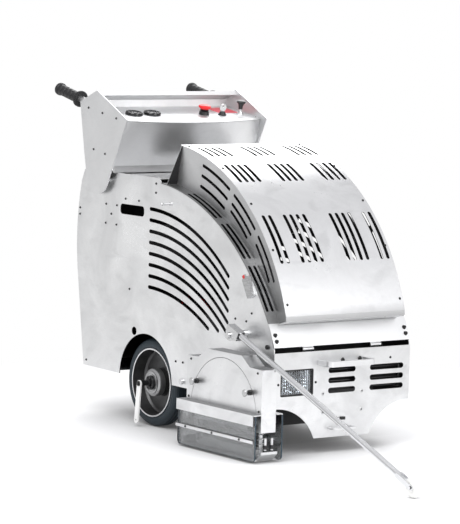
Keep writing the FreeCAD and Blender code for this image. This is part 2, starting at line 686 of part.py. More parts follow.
def hinge_barrels():
    """The two hinge barrels under the front edge of the band, each with a leaf up to the band."""
    x, z = D.hinge_x, D.hinge_z
    shapes = []
    for y in HINGE_PLACES:
        barrel = Part.makeCylinder(5, 40, V(x, y, z), V(0, 1, 0))
        foot = polar(D.rim_arc_x, D.rim_arc_z, D.band_inner + 0.5, 25)
        leaf = prism([(x - 4.5, z), (x + 2, z + 2), (foot[0] + 2, foot[1] - 4), foot], y, y + 40)
        bore = Part.makeCylinder(3 + D.running_gap, 60, V(x, y - 10, z), V(0, 1, 0))
        shapes.append(barrel.fuse(leaf).cut(bore))
    return shapes


def hinge_pin(y):
    """The fixed half of one hinge: a pin between two lugs on the front panel's inner face."""
    x, z, face = D.hinge_x, D.hinge_z, D.front_x - D.sheet
    shape = Part.makeCylinder(3, 47, V(x, y - 3.5, z), V(0, 1, 0))
    outline = [(x - 5, z), ("via", x, z + 5), (x + 5, z), (face, z - 8), (face, z - 26), (x + 1, z - 26)]
    lugs = [prism(outline, low, low + 3) for low in (y - 3.5, y + 40.5)]
    return shape.fuse(lugs)


finish("hood_base_band", hood_base_band())
finish("hood_skin", hood_skin())
finish("hood_frame", hood_frame())
finish("hood_screws", hood_screws())


# ---------------------------------------------------------------- running gear
def tyre(sign):
    """A solid rubber tyre with rounded shoulders, clear of the rim by a hair."""
    outer, bead, half = D.tyre_radius, D.bead_radius, D.tyre_width / 2
    profile = [(bead + 0.02, -half + 4), (bead + 6, -half), (outer - 12, -half), (outer - 4, -half + 5),
               (outer, -half + 12), (outer, half - 12), (outer - 4, half - 5), (outer - 12, half),
               (bead + 6, half), (bead + 0.02, half - 4)]
    return revolve(profile, 0, sign * (D.tyre_outer_y - half), D.axle_z)


def rim(sign):
    """A deep dished disc with a rolled outer ring and a long hub whose face is turned in rings."""
    half, bore, bead = D.tyre_width / 2, D.stub_radius + D.running_gap, D.bead_radius
    disc = D.dish_depth - half
    hub = [(bore, -half), (27, -half), (27, -half + 2), (31, -half + 2), (31, -half + 0.5), (36, -half + 0.5),
           (36, -half + 3), (D.hub_radius, -half + 6), (D.hub_radius, disc - 3), (D.hub_radius + 3, disc)]
    profile = hub + [
        (bead - 14, disc), (bead - 8, disc - 6), (bead - 5, -half + 6), (bead - 5, -half), (bead, -half - 0.5),
        (bead, half), (bead - 3, half), (bead - 3, disc + 6), (D.hub_radius - 4, disc + 6),
        (D.hub_radius - 6, half), (bore, half)]
    shape = revolve(profile, 0, 0, 0)
    if sign > 0:
        shape = mirrored(shape)
    shape.translate(V(0, sign * (D.tyre_outer_y - half), D.axle_z))
    return shape


for side, sign in (("right", -1), ("left", 1)):
    finish("rear_rim_" + side, solid("rear_rim_" + side, rim(sign)))
    finish("rear_tyre_" + side, solid("rear_tyre_" + side, tyre(sign)))


def transaxle():
    """Gearbox, axle tubes and the stubs that the wheels run on."""
    gearbox = box("gearbox", (-80, 75), (-70, 70), (95, 160))
    motor = rod("hydraulic_motor", "y", 38, (40, 70, 118), 70)
    tube = rod("axle_tube", "y", 19.5, (0, -186, "axle_z"), 372)
    stub = rod("axle_stub", "y", "stub_radius", (0, -244, "axle_z"), 488)
    crank = rod("lever_pin", "y", "lever_pin_radius", (0, "-lever_y - 6", "axle_z"), 60)
    nut_right = rod("hub_nut_right", "y", "hub_nut_radius", (0, "-tyre_outer_y - 8.3", "axle_z"), 8)
    nut_left = rod("hub_nut_left", "y", "hub_nut_radius", (0, "tyre_outer_y + 0.3", "axle_z"), 8)
    end = rod("stub_end", "y", "stub_radius", (0, 240, "axle_z"), 14)
    return fuse("transaxle", gearbox, motor, tube, stub, crank, nut_right, nut_left, end)


finish("transaxle", transaxle())


def hub_lever():
    """A flat bar that hangs from the pin in the right hub, with an eye at each end."""
    tilt, reach, half = math.radians(6), 120, 10.5
    along, across = (-math.sin(tilt), -math.cos(tilt)), (math.cos(tilt), -math.sin(tilt))

    def at(u, v):
        return along[0] * u + across[0] * v, D.axle_z + along[1] * u + across[1] * v

    outline = [at(0, -half), ("via", *at(-half, 0)), at(0, half), at(reach, half),
               ("via", *at(reach + half, 0)), at(reach, -half)]
    holes = [circle(0, D.axle_z, D.lever_pin_radius + D.running_gap), circle(*at(reach, 0), 4)]
    return plate("hub_lever", "xz", [outline] + holes, 5, "-lever_y - 2.5")


finish("hub_lever", hub_lever())


def lift_axle():
    """Front wheel axle on a round column that slides up and down in the chassis."""
    column = rod("column", "z", "column_radius", ("front_wheel_x", 0, "front_wheel_radius - 10"), 166)
    axle = rod("front_axle", "y", 7.95, ("front_wheel_x", -50, "front_wheel_radius"), 100)
    collar = rod("axle_collar", "y", 13, ("front_wheel_x", -10, "front_wheel_radius"), 20)
    return fuse("lift_axle", column, axle, collar)


def front_wheel(name, sign):
    centre = sign * D.front_wheel_y
    half, radius = D.front_wheel_width / 2, D.front_wheel_radius
    outward = [(18, half), (22, half - 5), (radius - 10, half - 5), (radius - 8, half), (radius - 2, half - 2),
               (radius, half - 7)]
    profile = [(8, half)] + outward + [(r, -along) for r, along in outward[::-1]] + [(8, -half)]
    return solid(name, revolve(profile, D.front_wheel_x, centre, D.front_wheel_radius))


finish("lift_axle", lift_axle())
finish("front_wheel_right", front_wheel("front_wheel_right", -1))
finish("front_wheel_left", front_wheel("front_wheel_left", 1))


# ---------------------------------------------------------------- engine and drive
def engine_cylinder(name, tilt):
    """One finned cylinder, tilted about the crankshaft."""
    block = doc.addObject("Part::Box", name)
    for side, size in (("Length", 110), ("Width", 180), ("Height", 210)):
        bind(block, side, size)
    turn = FreeCAD.Placement(V(D.crank_x, 0, D.crank_z), FreeCAD.Rotation(V(0, 1, 0), tilt))
    block.Placement = turn.multiply(FreeCAD.Placement(V(-55, -100, 60), FreeCAD.Rotation()))
    return block


def engine_block():
    """Crankcase with two cylinders in a vee, the bearing that the crankshaft turns in and a recess
    for the front wheel column."""
    crankcase = box("crankcase", (190, 420), (-160, 130), (166, 420))
    bearing = rod("crank_bearing", "y", 46, ("crank_x", -190, "crank_z"), 60)
    fan = rod("fan_housing", "y", 120, ("crank_x", 130, "crank_z + 10"), 60)
    vee = [engine_cylinder("cylinder_front", 40), engine_cylinder("cylinder_rear", -40)]
    bore = rod("crank_bore", "y", 14.05, ("crank_x", -195, "crank_z"), 80)
    recess = box("column_recess", ("front_wheel_x - 20", "front_wheel_x + 20"), (-20, 20), (160, 270))
    return cut("engine_block", fuse("engine_casting", crankcase, bearing, fan, *vee), bore, recess)


finish("engine_block", engine_block())


def engine_ancillaries():
    air_filter = ring("air_filter", "z", 85, 20, ("crank_x", -10, 640), 90)
    battery = box("battery", (-350, -185), (-60, 110), (166, 340))
    muffler = rod("muffler", "y", 48, (505, -100, 400), 220)
    return group("engine_ancillaries", air_filter, battery, muffler)


finish("engine_ancillaries", engine_ancillaries())


def fuel_tank():
    shell = Part.makeBox(170, 400, 230, V(-385, -200, 400))
    shell = shell.makeFillet(25, shell.Edges)
    cap = Part.makeCylinder(28, 14, V(-300, -120, 630))
    return solid("fuel_tank", shell.fuse(cap))


finish("fuel_tank", fuel_tank())
finish("oil_cooler", box("oil_cooler", (628, 656), (-70, 246), (184, 272)))


def pulley(name, radius, x, y0, z, shaft_radius, shaft_start, shaft_length):
    """A grooved pulley and its shaft; the belt's own width clears both rims."""
    half = D.belt_width / 2 + 1
    rim_radius, root = radius + 3, radius - D.belt_thickness - 0.3
    profile = [(0, -half - 3), (rim_radius, -half - 3), (rim_radius, -half), (root, -half), (root, half),
               (rim_radius, half), (rim_radius, half + 3), (0, half + 3)]
    wheel = revolve(profile, x, y0, z)
    shaft = Part.makeCylinder(shaft_radius, shaft_length, V(x, shaft_start, z), V(0, 1, 0))
    return wheel.fuse(shaft)


finish("crankshaft_pulley", solid("crankshaft_pulley", pulley(
    "crankshaft_pulley", D.crank_pulley, D.crank_x, D.belt_y, D.crank_z, 14, D.belt_y, 100)))


def arbor_shaft():
    """The blade's shaft with its pulley, and the two clamp flanges and the nut that hold the blade."""
    half = D.blade_thickness / 2 - 0.3
    shaft = solid("arbor", pulley("arbor", D.arbor_pulley, D.blade_x, D.belt_y, D.blade_z, D.arbor_radius,
                                  D.blade_y - 16, D.belt_y - D.blade_y + 22))
    rings = [("outer_flange", 28, f"blade_y - {half} - 5", 5), ("inner_flange", 28, f"blade_y + {half}", 5),
             ("arbor_nut", 15, f"blade_y - {half} - 13", 8)]
    clamps = [ring(name, "y", outer, "arbor_radius", ("blade_x", start, "blade_z"), length)
              for name, outer, start, length in rings]
    return group("arbor_shaft", shaft, *clamps)


finish("arbor_shaft", arbor_shaft())


def drive_belt():
    """A toothed belt from the crankshaft to the arbor, clear of both pulleys."""
    big, small = V(D.crank_x, 0, D.crank_z), V(D.blade_x, 0, D.blade_z)
    span = small - big
    distance, heading = span.Length, math.degrees(math.atan2(span.z, span.x))
    wrap = math.degrees(math.acos((D.crank_pulley - D.arbor_pulley) / distance))

    def loop(offset):
        a, b = D.crank_pulley + offset, D.arbor_pulley + offset
        return [polar(big.x, big.z, a, heading + wrap), ("via", *polar(big.x, big.z, a, heading + 180)),
                polar(big.x, big.z, a, heading - wrap), polar(small.x, small.z, b, heading - wrap),
                ("via", *polar(small.x, small.z, b, heading)), polar(small.x, small.z, b, heading + wrap)]

    low = D.belt_y - D.belt_width / 2
    inside = prism(loop(-D.belt_thickness), low - 1, low + D.belt_width + 1)
    return solid("drive_belt", prism(loop(0), low, low + D.belt_width).cut(inside))


finish("drive_belt", drive_belt())


# ---------------------------------------------------------------- blade, guard and skid plate
GUARD = [(346, 89), (346, 277), (405, 279), (455, 309), (629, 309), (672, 279), (735, 277), (735, 89)]


def inset(points, gap):
    """The guard's outline moved inwards, open at the bottom."""
    return strip(points[1:-1], -gap)[len(points) - 2:]


def guard_housing():
    """Inner wall, roof, front wall and rear wall of the blade guard, with the arbor bearing."""
    low, high = D.guard_outer_y + D.sheet, D.guard_inner_y
    shell = prism(GUARD, low, high)
    inner = inset(GUARD, D.sheet)
    inner[0], inner[-1] = (GUARD[-1][0] - D.sheet, inner[0][1]), (GUARD[0][0] + D.sheet, inner[-1][1])
    cavity = prism([(inner[-1][0], 80)] + inner[::-1] + [(inner[0][0], 80)], low - 1, high - D.sheet)
    shape = shell.cut(cavity)
    bearing = Part.makeCylinder(24, -245 - high, V(D.blade_x, high - D.sheet, D.blade_z), V(0, 1, 0))
    shape = shape.fuse(bearing)
    for x in (D.post_rear, D.post_front):
        block = Part.makeBox(26, high - low - D.sheet - 6, 20, V(x - 13, low + 6, D.guide_low))
        shape = shape.fuse(block)
    bores = [Part.makeCylinder(D.arbor_radius + D.running_gap, 80, V(D.blade_x, high - 10, D.blade_z),
                               V(0, 1, 0))]
    bores += [Part.makeCylinder(D.post_radius + D.running_gap, 60, V(x, D.blade_y, D.guide_low - 20))
              for x in (D.post_rear, D.post_front)]
    front, top = GUARD[-1][0], GUARD[-2][1]
    corner = [V(front - D.sheet, high - 15, top + 2), V(front - D.sheet, high + 1, top + 2),
              V(front - D.sheet, high + 1, top - 15)]
    chamfer = Part.Face(Part.makePolygon(corner + corner[:1])).extrude(V(D.sheet + 1, 0, 0))
    return solid("guard_housing", shape.cut(bores + [chamfer]))


def cover_circle(radius):
    """The part of the cover's circle above its straight bottom edge."""
    reach = math.sqrt(radius ** 2 - (D.cover_bottom - D.cover_z) ** 2)
    return [(D.blade_x - reach, D.cover_bottom), ("via", D.blade_x, D.cover_z + radius),
            (D.blade_x + reach, D.cover_bottom)]


THUMB_SCREWS = [(402, 204), (678, 204)]
GUARD_SCREWS = [(366, 268), (713, 266), (357, 152), (722, 152)]


def guard_outer_plate():
    outline = GUARD[1:-1] + [(735, 89), (346, 89)]
    opening = cover_circle(D.cover_radius)
    opening[0], opening[-1] = (opening[0][0], D.cover_bottom - 0.6), (opening[-1][0], D.cover_bottom - 0.6)
    holes = [circle(x, z, D.screw_radius) for x, z in GUARD_SCREWS]
    body = plate("guard_outer_plate", "xz", [outline, opening] + holes, "sheet", "guard_outer_y")
    return finish("guard_outer_plate", body)


def thumb_screws():
    """Knurled heads on shanks that hold the cover."""
    shapes = []
    for x, z in THUMB_SCREWS:
        at = V(x, D.guard_outer_y, z)
        head = Part.makeCylinder(10.5, 7, at + V(0, -34, 0), V(0, 1, 0))
        neck = Part.makeCylinder(6, 5, at + V(0, -27, 0), V(0, 1, 0))
        nut = Part.makeCylinder(8, 8, at + V(0, -8, 0), V(0, 1, 0))
        shank = Part.makeCylinder(4, 42, at + V(0, -34, 0), V(0, 1, 0))
        shapes.append(head.fuse([neck, nut, shank]))
    return group("cover_thumb_screws", *(solid(f"thumb_screw_{i}", shape) for i, shape in enumerate(shapes)))


finish("guard_housing", guard_housing())
guard_outer_plate()
cover_holes = [circle(x, z, 4) for x, z in THUMB_SCREWS]
finish("blade_cover", plate("blade_cover", "xz", [cover_circle(D.cover_radius - D.cover_gap)] + cover_holes,
                            "sheet", "guard_outer_y"))
finish("cover_thumb_screws", thumb_screws())


def rail(name, web_low, flange):
    """An angle rail: an upright web that carries a skirt, and a top flange back to the guard."""
    web = box(name + "_web", ("rail_rear", "rail_front"), (web_low, web_low + " + sheet"),
              ("rail_low", "rail_high"))
    top = box(name + "_flange", ("rail_rear", "rail_front"), flange, ("rail_high - sheet", "rail_high"))
    return fuse(name, web, top)


def inner_rail():
    """The inner rail stops short of the arbor bearing on both sides."""
    whole = rail("inner_rail_whole", "skirt_inner_y - sheet", ("guard_inner_y", "skirt_inner_y"))
    gap = box("bearing_gap", ("blade_x - 26", "blade_x + 26"), ("guard_inner_y", "skirt_inner_y"),
              ("rail_low", "rail_high"))
    return cut("inner_rail", whole, gap)


finish("skirt_rails", group(
    "skirt_rails", rail("outer_rail", "skirt_outer_y", ("skirt_outer_y", "guard_outer_y")), inner_rail()))


def skirt(name, low, notched):
    top = D.rail_high - D.sheet
    reach = math.sqrt(25 ** 2 - (D.blade_z - top) ** 2)
    notch = [(D.blade_x - reach, top), ("via", D.blade_x, D.blade_z - 25), (D.blade_x + reach, top)]
    outline = [(345, top)] + (notch if notched else []) + [
        (747, top), (747, D.skirt_bottom + 14), ("via", 742.9, D.skirt_bottom + 4.1),
        (733, D.skirt_bottom), (359, D.skirt_bottom), ("via", 349.1, D.skirt_bottom + 4.1),
        (345, D.skirt_bottom + 14)]
    return plate(name, "xz", [outline], "skirt_thickness", low)


finish("clear_skirts", group(
    "clear_skirts", skirt("outer_skirt", "skirt_outer_y + sheet", False),
    skirt("inner_skirt", "skirt_inner_y - sheet - skirt_thickness", True)))

STRIP_SCREWS = [391, 531, 672]


def clamp_strip(name, low):
    outline = [(339, 60), (741, 60), (741, 69), (339, 69)]
    return plate(name, "xz", [outline] + [circle(x, 64.5, 2) for x in STRIP_SCREWS], "sheet", low)


finish("clamp_strips", group("clamp_strips", clamp_strip("outer_strip", "skirt_outer_y"),
                             clamp_strip("inner_strip", "skirt_inner_y - sheet")))


def skid_plate():
    """The plate that the saw rides on: a blade slot, turned-up ends, guide posts and a front foot."""
    y, top = D.blade_y, D.skid_low + D.skid_thickness
    base = Part.makeBox(D.skid_front - D.skid_rear, 2 * D.skid_half, D.skid_thickness,
                        V(D.skid_rear, y - D.skid_half, D.skid_low))
    slot = Part.makeBox(2 * D.blade_radius + 16, 7, 40, V(D.blade_x - D.blade_radius - 8, y - 3.5, 0))
    keel = prism([(395, top - 1), (690, top - 1), (670, top + 26), (430, top + 26)], y - 18, y + 18)
    channel = Part.makeBox(2 * D.blade_radius + 16, 20, 60, V(D.blade_x - D.blade_radius - 8, y - 10, top))
    front, rear = D.skid_front - 1, D.skid_rear + 1
    nose = prism([(front, D.skid_low), (748, 26), (748, 34), (front, top)], y - 30, y + 30)
    heel = prism([(rear, D.skid_low), (334, 20), (334, 27), (rear, top)], y - 30, y + 30)
    shape = base.fuse([keel, nose, heel])
    posts = [Part.makeCylinder(D.post_radius, 140, V(x, y, top - 1)) for x in (D.post_rear, D.post_front)]
    pins = [Part.makeCylinder(4, 46, V(743.5, y + dy, 29)) for dy in (-12, 12)]
    return solid("skid_plate", shape.cut([slot, channel]).fuse(posts + pins))


def coil(x):
    """A compression spring round one guide post, between the skid plate and its guide block."""
    low, high, wire = D.skid_low + D.skid_thickness + 1.6, D.guide_low - 1.6, 1.5
    pitch = (high - low) / 7
    path = Part.makeHelix(pitch, high - low, 11)
    start = Part.Wire([Part.Circle(V(11, 0, 0), V(0, 1, 0), wire).toShape()])
    shape = Part.Wire(path.Edges).makePipeShell([start], True, True)
    shape.translate(V(x, D.blade_y, low))
    return shape


finish("skid_plate", skid_plate())
finish("skid_springs", group("skid_springs", *(solid(f"skid_spring_{i}", coil(x))
                                              for i, x in enumerate((D.post_rear, D.post_front)))))


def saw_blade():
    """A segmented rim, a steel core and both clamp flanges' seat."""
    half = D.blade_thickness / 2
    core = Part.makeCylinder(D.blade_radius - 6, 2 * half - 0.6, V(D.blade_x, D.blade_y - half + 0.3, D.blade_z),
                             V(0, 1, 0))
    rim_ring = revolve([(D.blade_radius - 8, -half), (D.blade_radius, -half), (D.blade_radius, half),
                        (D.blade_radius - 8, half)], D.blade_x, D.blade_y, D.blade_z)
    gullets = []
    for k in range(18):
        angle = k * 20
        px, pz = polar(D.blade_x, D.blade_z, D.blade_radius - 4, angle)
        gap = Part.makeBox(12, 10, 2.4, V(-6, -5, -1.2))
        gap.rotate(V(), V(0, 1, 0), -angle)
        gap.translate(V(px, D.blade_y, pz))
        gullets.append(gap)
    bore = Part.makeCylinder(D.arbor_radius, 20, V(D.blade_x, D.blade_y - 10, D.blade_z), V(0, 1, 0))
    return solid("saw_blade", core.fuse(rim_ring).cut(gullets + [bore]))


finish("saw_blade", saw_blade())


# ---------------------------------------------------------------- pointer arm
POINTER_TURN = FreeCAD.Rotation(V(0, 1, 0), D.pointer_angle)


def on_pointer(shape):
    """Move a piece drawn with its pivot at the origin and its rod along +X to the arm's place."""
    place = FreeCAD.Placement(V(D.pivot_x, D.pointer_y, D.pivot_z), POINTER_TURN)
    shape.Placement = place.multiply(shape.Placement)
    return shape


def pointer_channel():
    """A folded channel over the end of the rod, which turns on the pivot bolt."""
    side = [(-19, 29), (40, 29), (40, 3), (12, -12), ("via", 0, -14.5), (-12, -12), (-19, 6)]
    shape = prism(side, -14, 14)
    hollow = prism([(-25, 27.7), (46, 27.7), (46, -20), (-25, -20)], -11.5, 11.5)
    bolt_hole = Part.makeCylinder(6.05, 60, V(0, -30, 0), V(0, 1, 0))
    saddle = Part.makeBox(26, 23, 8.6, V(12, -11.5, 1))
    return solid("pointer_channel", on_pointer(shape.cut(hollow).fuse(saddle).cut(bolt_hole)))


def pointer_rod():
    """The rod and the fork that holds its wheel."""
    start, end, rise = -16, D.pointer_length - 62, D.pointer_offset
    shaft = Part.makeCylinder(D.pointer_radius, end - start, V(start, 0, rise), V(1, 0, 0))
    hub_x, hub_z = pointer_hub()
    fork = prism([(end - 12, rise - 7), (end - 12, rise + 7), (hub_x + 9, hub_z + 7), (hub_x + 11, hub_z - 5),
                  (hub_x - 2, hub_z - 9)], -11, -8)
    far = prism([(end - 12, rise - 7), (end - 12, rise + 7), (hub_x + 9, hub_z + 7), (hub_x + 11, hub_z - 5),
                 (hub_x - 2, hub_z - 9)], 8, 11)
    crown = Part.makeBox(14, 22, 14, V(end - 14, -11, rise - 7))
    pin = Part.makeCylinder(4, 30, V(hub_x, -15, hub_z), V(0, 1, 0))
    return solid("pointer_rod", on_pointer(shaft.fuse([fork, far, crown, pin]).removeSplitter()))


def pointer_hub():
    """The wheel's axle in the arm's own frame, with the wheel resting on the floor."""
    angle = math.radians(D.pointer_angle)
    drop = D.pivot_z - D.pointer_wheel_radius
    reach = (drop + D.pointer_offset * math.cos(angle)) / math.sin(angle)
    return reach, D.pointer_offset


def pointer_wheel():
    hub_x, hub_z = pointer_hub()
    radius = D.pointer_wheel_radius
    profile = [(4.05, -7.5), (10, -7.5), (12, -5), (radius - 3, -5), (radius, -3), (radius, 3), (radius - 3, 5),
               (12, 5), (10, 7.5), (4.05, 7.5)]
    return solid("pointer_wheel", on_pointer(revolve(profile, hub_x, 0, hub_z)))


def pointer_pivot_bolt():
    """The stand-off on the right panel and the bolt that the arm turns on."""
    x, z = D.pivot_x, D.pivot_z
    boss = Part.makeCylinder(14, D.pointer_y * -1 - 14.4 - D.body_half, V(x, -D.body_half, z), V(0, -1, 0))
    shank = Part.makeCylinder(6, 76, V(x, D.pointer_y - 20, z), V(0, 1, 0))
    head = Part.makeCylinder(9.5, 6, V(x, D.pointer_y - 20.5, z), V(0, 1, 0))
    return solid("pointer_pivot_bolt", boss.fuse([shank, head]))


finish("pointer_channel", pointer_channel())
finish("pointer_rod", pointer_rod())
finish("pointer_wheel", pointer_wheel())
finish("pointer_pivot_bolt", pointer_pivot_bolt())


# ---------------------------------------------------------------- front fittings, latch and fasteners
def headlight_housing():
    y0, y1, z0, z1 = D.lamp_low_y + 1, D.lamp_high_y - 1, D.lamp_low_z + 1, D.lamp_high_z - 1
    shell = Part.makeBox(55, y1 - y0, z1 - z0, V(D.front_x - 58, y0, z0))
    pocket = Part.makeBox(60, y1 - y0 - 6, z1 - z0 - 6, V(D.front_x - 55, y0 + 3, z0 + 3))
    lamp = Part.makeSphere(34, V(D.front_x - 16, (y0 + y1) / 2, (z0 + z1) / 2))
    reflector = Part.makeSphere(31, V(D.front_x - 16, (y0 + y1) / 2, (z0 + z1) / 2))
    front_half = Part.makeBox(60, 200, 200, V(D.front_x - 18, y0 - 40, z0 - 40))
    bowl = lamp.cut([reflector, front_half])
    tail = Part.makeCylinder(10, 8, V(D.front_x - 57, (y0 + y1) / 2, (z0 + z1) / 2), V(1, 0, 0))
    return solid("headlight_housing", shell.cut(pocket).fuse(bowl).fuse(tail))


def headlight_lens():
    y0, y1, z0, z1 = D.lamp_low_y + 4.2, D.lamp_high_y - 4.2, D.lamp_low_z + 4.2, D.lamp_high_z - 4.2
    return solid("headlight_lens", Part.makeBox(3, y1 - y0, z1 - z0, V(D.front_x - 7, y0, z0)))


finish("headlight_housing", headlight_housing())
finish("headlight_lens", headlight_lens())


def bent_bar(name, left, right, reach, width, radius, height, low):
    """A flat bar bent to a U that stands out of the front panel."""
    x = D.front_x
    bend = radius * (1 - math.sqrt(0.5))
    inner = radius - width
    inner_bend = inner * (1 - math.sqrt(0.5))
    front = x + reach
    outline = [(x, left), (front - radius, left), ("via", front - bend, left + bend), (front, left + radius),
               (front, right - radius), ("via", front - bend, right - bend), (front - radius, right), (x, right),
               (x, right - width), (front - radius, right - width),
               ("via", front - width - inner_bend, right - width - inner_bend),
               (front - width, right - width - inner), (front - width, left + width + inner),
               ("via", front - width - inner_bend, left + width + inner_bend),
               (front - radius, left + width), (x, left + width)]
    return finish(name, plate(name, "xy", [outline], height, low))


bent_bar("front_handle", -98, 83, 60, 9, 16, 17, 270)
bent_bar("tow_loop", -52, 40, 30, 8, 18, 5, 72)


def hood_latch():
    """A folded latch lever on the right panel with a red thumb tab; it turns on its own pin."""
    length, wide, deep = 62, 27, 15
    shell = Part.makeBox(length, deep, wide, V(-length / 2, -deep, -wide / 2))
    hollow = Part.makeBox(length - 4, deep - 2, wide - 4, V(-length / 2 + 2, -deep + 2, -wide / 2 + 2))
    tab = Part.makeBox(9, 6, 15, V(-length / 2 - 9, -deep - 1, -7))
    pin = Part.makeCylinder(4, deep, V(length / 2 - 10, -deep, 0), V(0, 1, 0))
    turn = FreeCAD.Placement(V(543, -D.body_half - 0.2, 502), FreeCAD.Rotation(V(0, 1, 0), 61))
    latch, tip = shell.cut(hollow).fuse(pin), tab
    latch.Placement = turn
    tip.Placement = turn
    return group("hood_latch", solid("latch_lever", latch), solid("latch_tab", tip))


finish("hood_latch", hood_latch())


def panel_fasteners():
    """Every screw and bolt of the fixed sheets, the hood's hinge pins, the pin that the raised
    pointer rests on, and the two round knobs on the guard."""
    shapes = []
    for x, z in PANEL_SCREWS:
        shapes.append(screw(x, -D.body_half, z, V(0, -1, 0)))
        shapes.append(screw(x, D.body_half, z, V(0, 1, 0)))
    for x, z in CONSOLE_SCREWS:
        shapes.append(screw(x, -D.console_y - D.sheet, z, V(0, -1, 0), length=D.sheet))
        shapes.append(screw(x, D.console_y + D.sheet, z, V(0, 1, 0), length=D.sheet))
    for i, (y, z) in enumerate(FRONT_SCREWS):
        wide = dict(head=6.5, height=1.6) if i < 4 else {}
        shapes.append(screw(D.front_x, y, z, V(1, 0, 0), length=D.sheet, **wide))
    for x, z in GUARD_SCREWS:
        shapes.append(screw(x, D.guard_outer_y, z, V(0, -1, 0), length=D.sheet))
    for x in STRIP_SCREWS:
        shapes.append(screw(x, D.skirt_outer_y, 64.5, V(0, -1, 0), length=D.sheet, radius=2, head=4))
        shapes.append(screw(x, D.skirt_inner_y, 64.5, V(0, 1, 0), length=D.sheet, radius=2, head=4))
    for y, z in FRONT_BOLTS:
        shapes.append(screw(D.front_x, y, z, V(1, 0, 0), length=D.sheet, head=7, height=5))
    for side in (-1, 1):
        shapes.append(Part.makeCylinder(7, 5, V(637, side * D.body_half, 330), V(0, side, 0)))
    shapes.append(Part.makeCylinder(9, 9, V(192, -D.body_half, 169), V(0, -1, 0)))
    shapes.append(Part.makeBox(6, 16, 9, V(D.front_x, -6, 98)))
    rest = Part.makeCylinder(3, 42, V(106, -D.body_half - 34, 720), V(0, 1, 0))
    collar = Part.makeCylinder(6, 4, V(106, -D.body_half - 4, 720), V(0, 1, 0))
    tip = Part.makeSphere(5, V(106, -D.body_half - 34, 720))
    shapes.append(rest.fuse([collar, tip]))
    for x in (385, 700):
        knob = Part.makeCylinder(12, 10, V(x, D.guard_outer_y - 14, 101), V(0, 1, 0))
        shapes.append(knob.fuse(Part.makeCylinder(5, 14, V(x, D.guard_outer_y - 14, 101), V(0, 1, 0))))
    shapes += [hinge_pin(y) for y in HINGE_PLACES]
    return group("panel_fasteners", *(solid(f"panel_fastener_{i}", shape) for i, shape in enumerate(shapes)))


finish("panel_fasteners", panel_fasteners())


# ---------------------------------------------------------------- check and write
def check_and_write():
    doc.recompute()
    labels = [item.Label for item in PARTS]
    if len(set(labels)) != len(labels):
        raise SystemExit("two pieces share a label")
    for item in doc.Objects:
        if {"Invalid", "Error"} & set(item.State):
            raise SystemExit(f"{item.Label} failed: {item.State}")
    for item in PARTS:
        shape = item.Shape
        if shape.isNull() or not shape.isValid() or shape.Volume <= 0 or not shape.Solids:
            raise SystemExit(f"{item.Label} has no valid solid")
    os.makedirs("parts", exist_ok=True)
    whole = FreeCAD.BoundBox()
    for item in PARTS:
        item.Shape.exportStep(f"parts/{item.Label}.step")
        whole.add(item.Shape.BoundBox)
    print(len(PARTS), "pieces", [round(value, 2) for value in (
        whole.XMin, whole.XMax, whole.YMin, whole.YMax, whole.ZMin, whole.ZMax)])


check_and_write()
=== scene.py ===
import json
import math

import bmesh
import bpy
from mathutils import Matrix, Vector

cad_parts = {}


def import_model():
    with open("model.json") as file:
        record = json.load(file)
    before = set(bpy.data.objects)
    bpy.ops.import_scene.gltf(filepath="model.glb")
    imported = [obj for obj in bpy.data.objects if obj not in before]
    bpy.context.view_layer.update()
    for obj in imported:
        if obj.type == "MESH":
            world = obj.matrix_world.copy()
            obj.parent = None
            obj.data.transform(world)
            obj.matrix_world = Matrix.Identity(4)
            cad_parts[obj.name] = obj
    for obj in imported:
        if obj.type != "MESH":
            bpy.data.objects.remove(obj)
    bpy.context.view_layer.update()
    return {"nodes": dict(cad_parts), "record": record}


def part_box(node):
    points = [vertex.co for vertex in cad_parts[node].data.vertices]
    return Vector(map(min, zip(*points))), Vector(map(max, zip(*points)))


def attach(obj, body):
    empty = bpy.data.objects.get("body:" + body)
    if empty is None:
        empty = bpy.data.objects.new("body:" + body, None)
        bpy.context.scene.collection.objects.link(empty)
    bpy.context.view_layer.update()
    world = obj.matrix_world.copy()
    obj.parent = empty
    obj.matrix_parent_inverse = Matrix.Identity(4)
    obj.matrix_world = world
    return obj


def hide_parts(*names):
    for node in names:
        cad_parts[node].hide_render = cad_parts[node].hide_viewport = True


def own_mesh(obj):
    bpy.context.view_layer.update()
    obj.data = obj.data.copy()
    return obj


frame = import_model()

NODES = frame["nodes"]
RECORD = frame["record"]
SLOT = {row["node"]: row["material_slot"] for row in RECORD["subparts"]}
JOINTS = {joint["name"]: joint for joint in RECORD["behaviour"]["joints"]}
DASH_TILT = math.radians(9)                          # the dash slopes down towards the front
CENTRE_Y = 0.04825                                   # the machine's own middle plane
BODY_HEART = (-0.12, CENTRE_Y, 0.33)                 # a point well inside the machine's body
RIM_ARC = (-0.4532, 0.033)                           # X and Z of the axis of the side panels' curved edge
HOOD_ARC = (-0.3982, 0.236)                          # X and Z of the axis of the hood's rolled skin


def pivot(joint):
    return Vector(JOINTS[joint]["pos_m"])


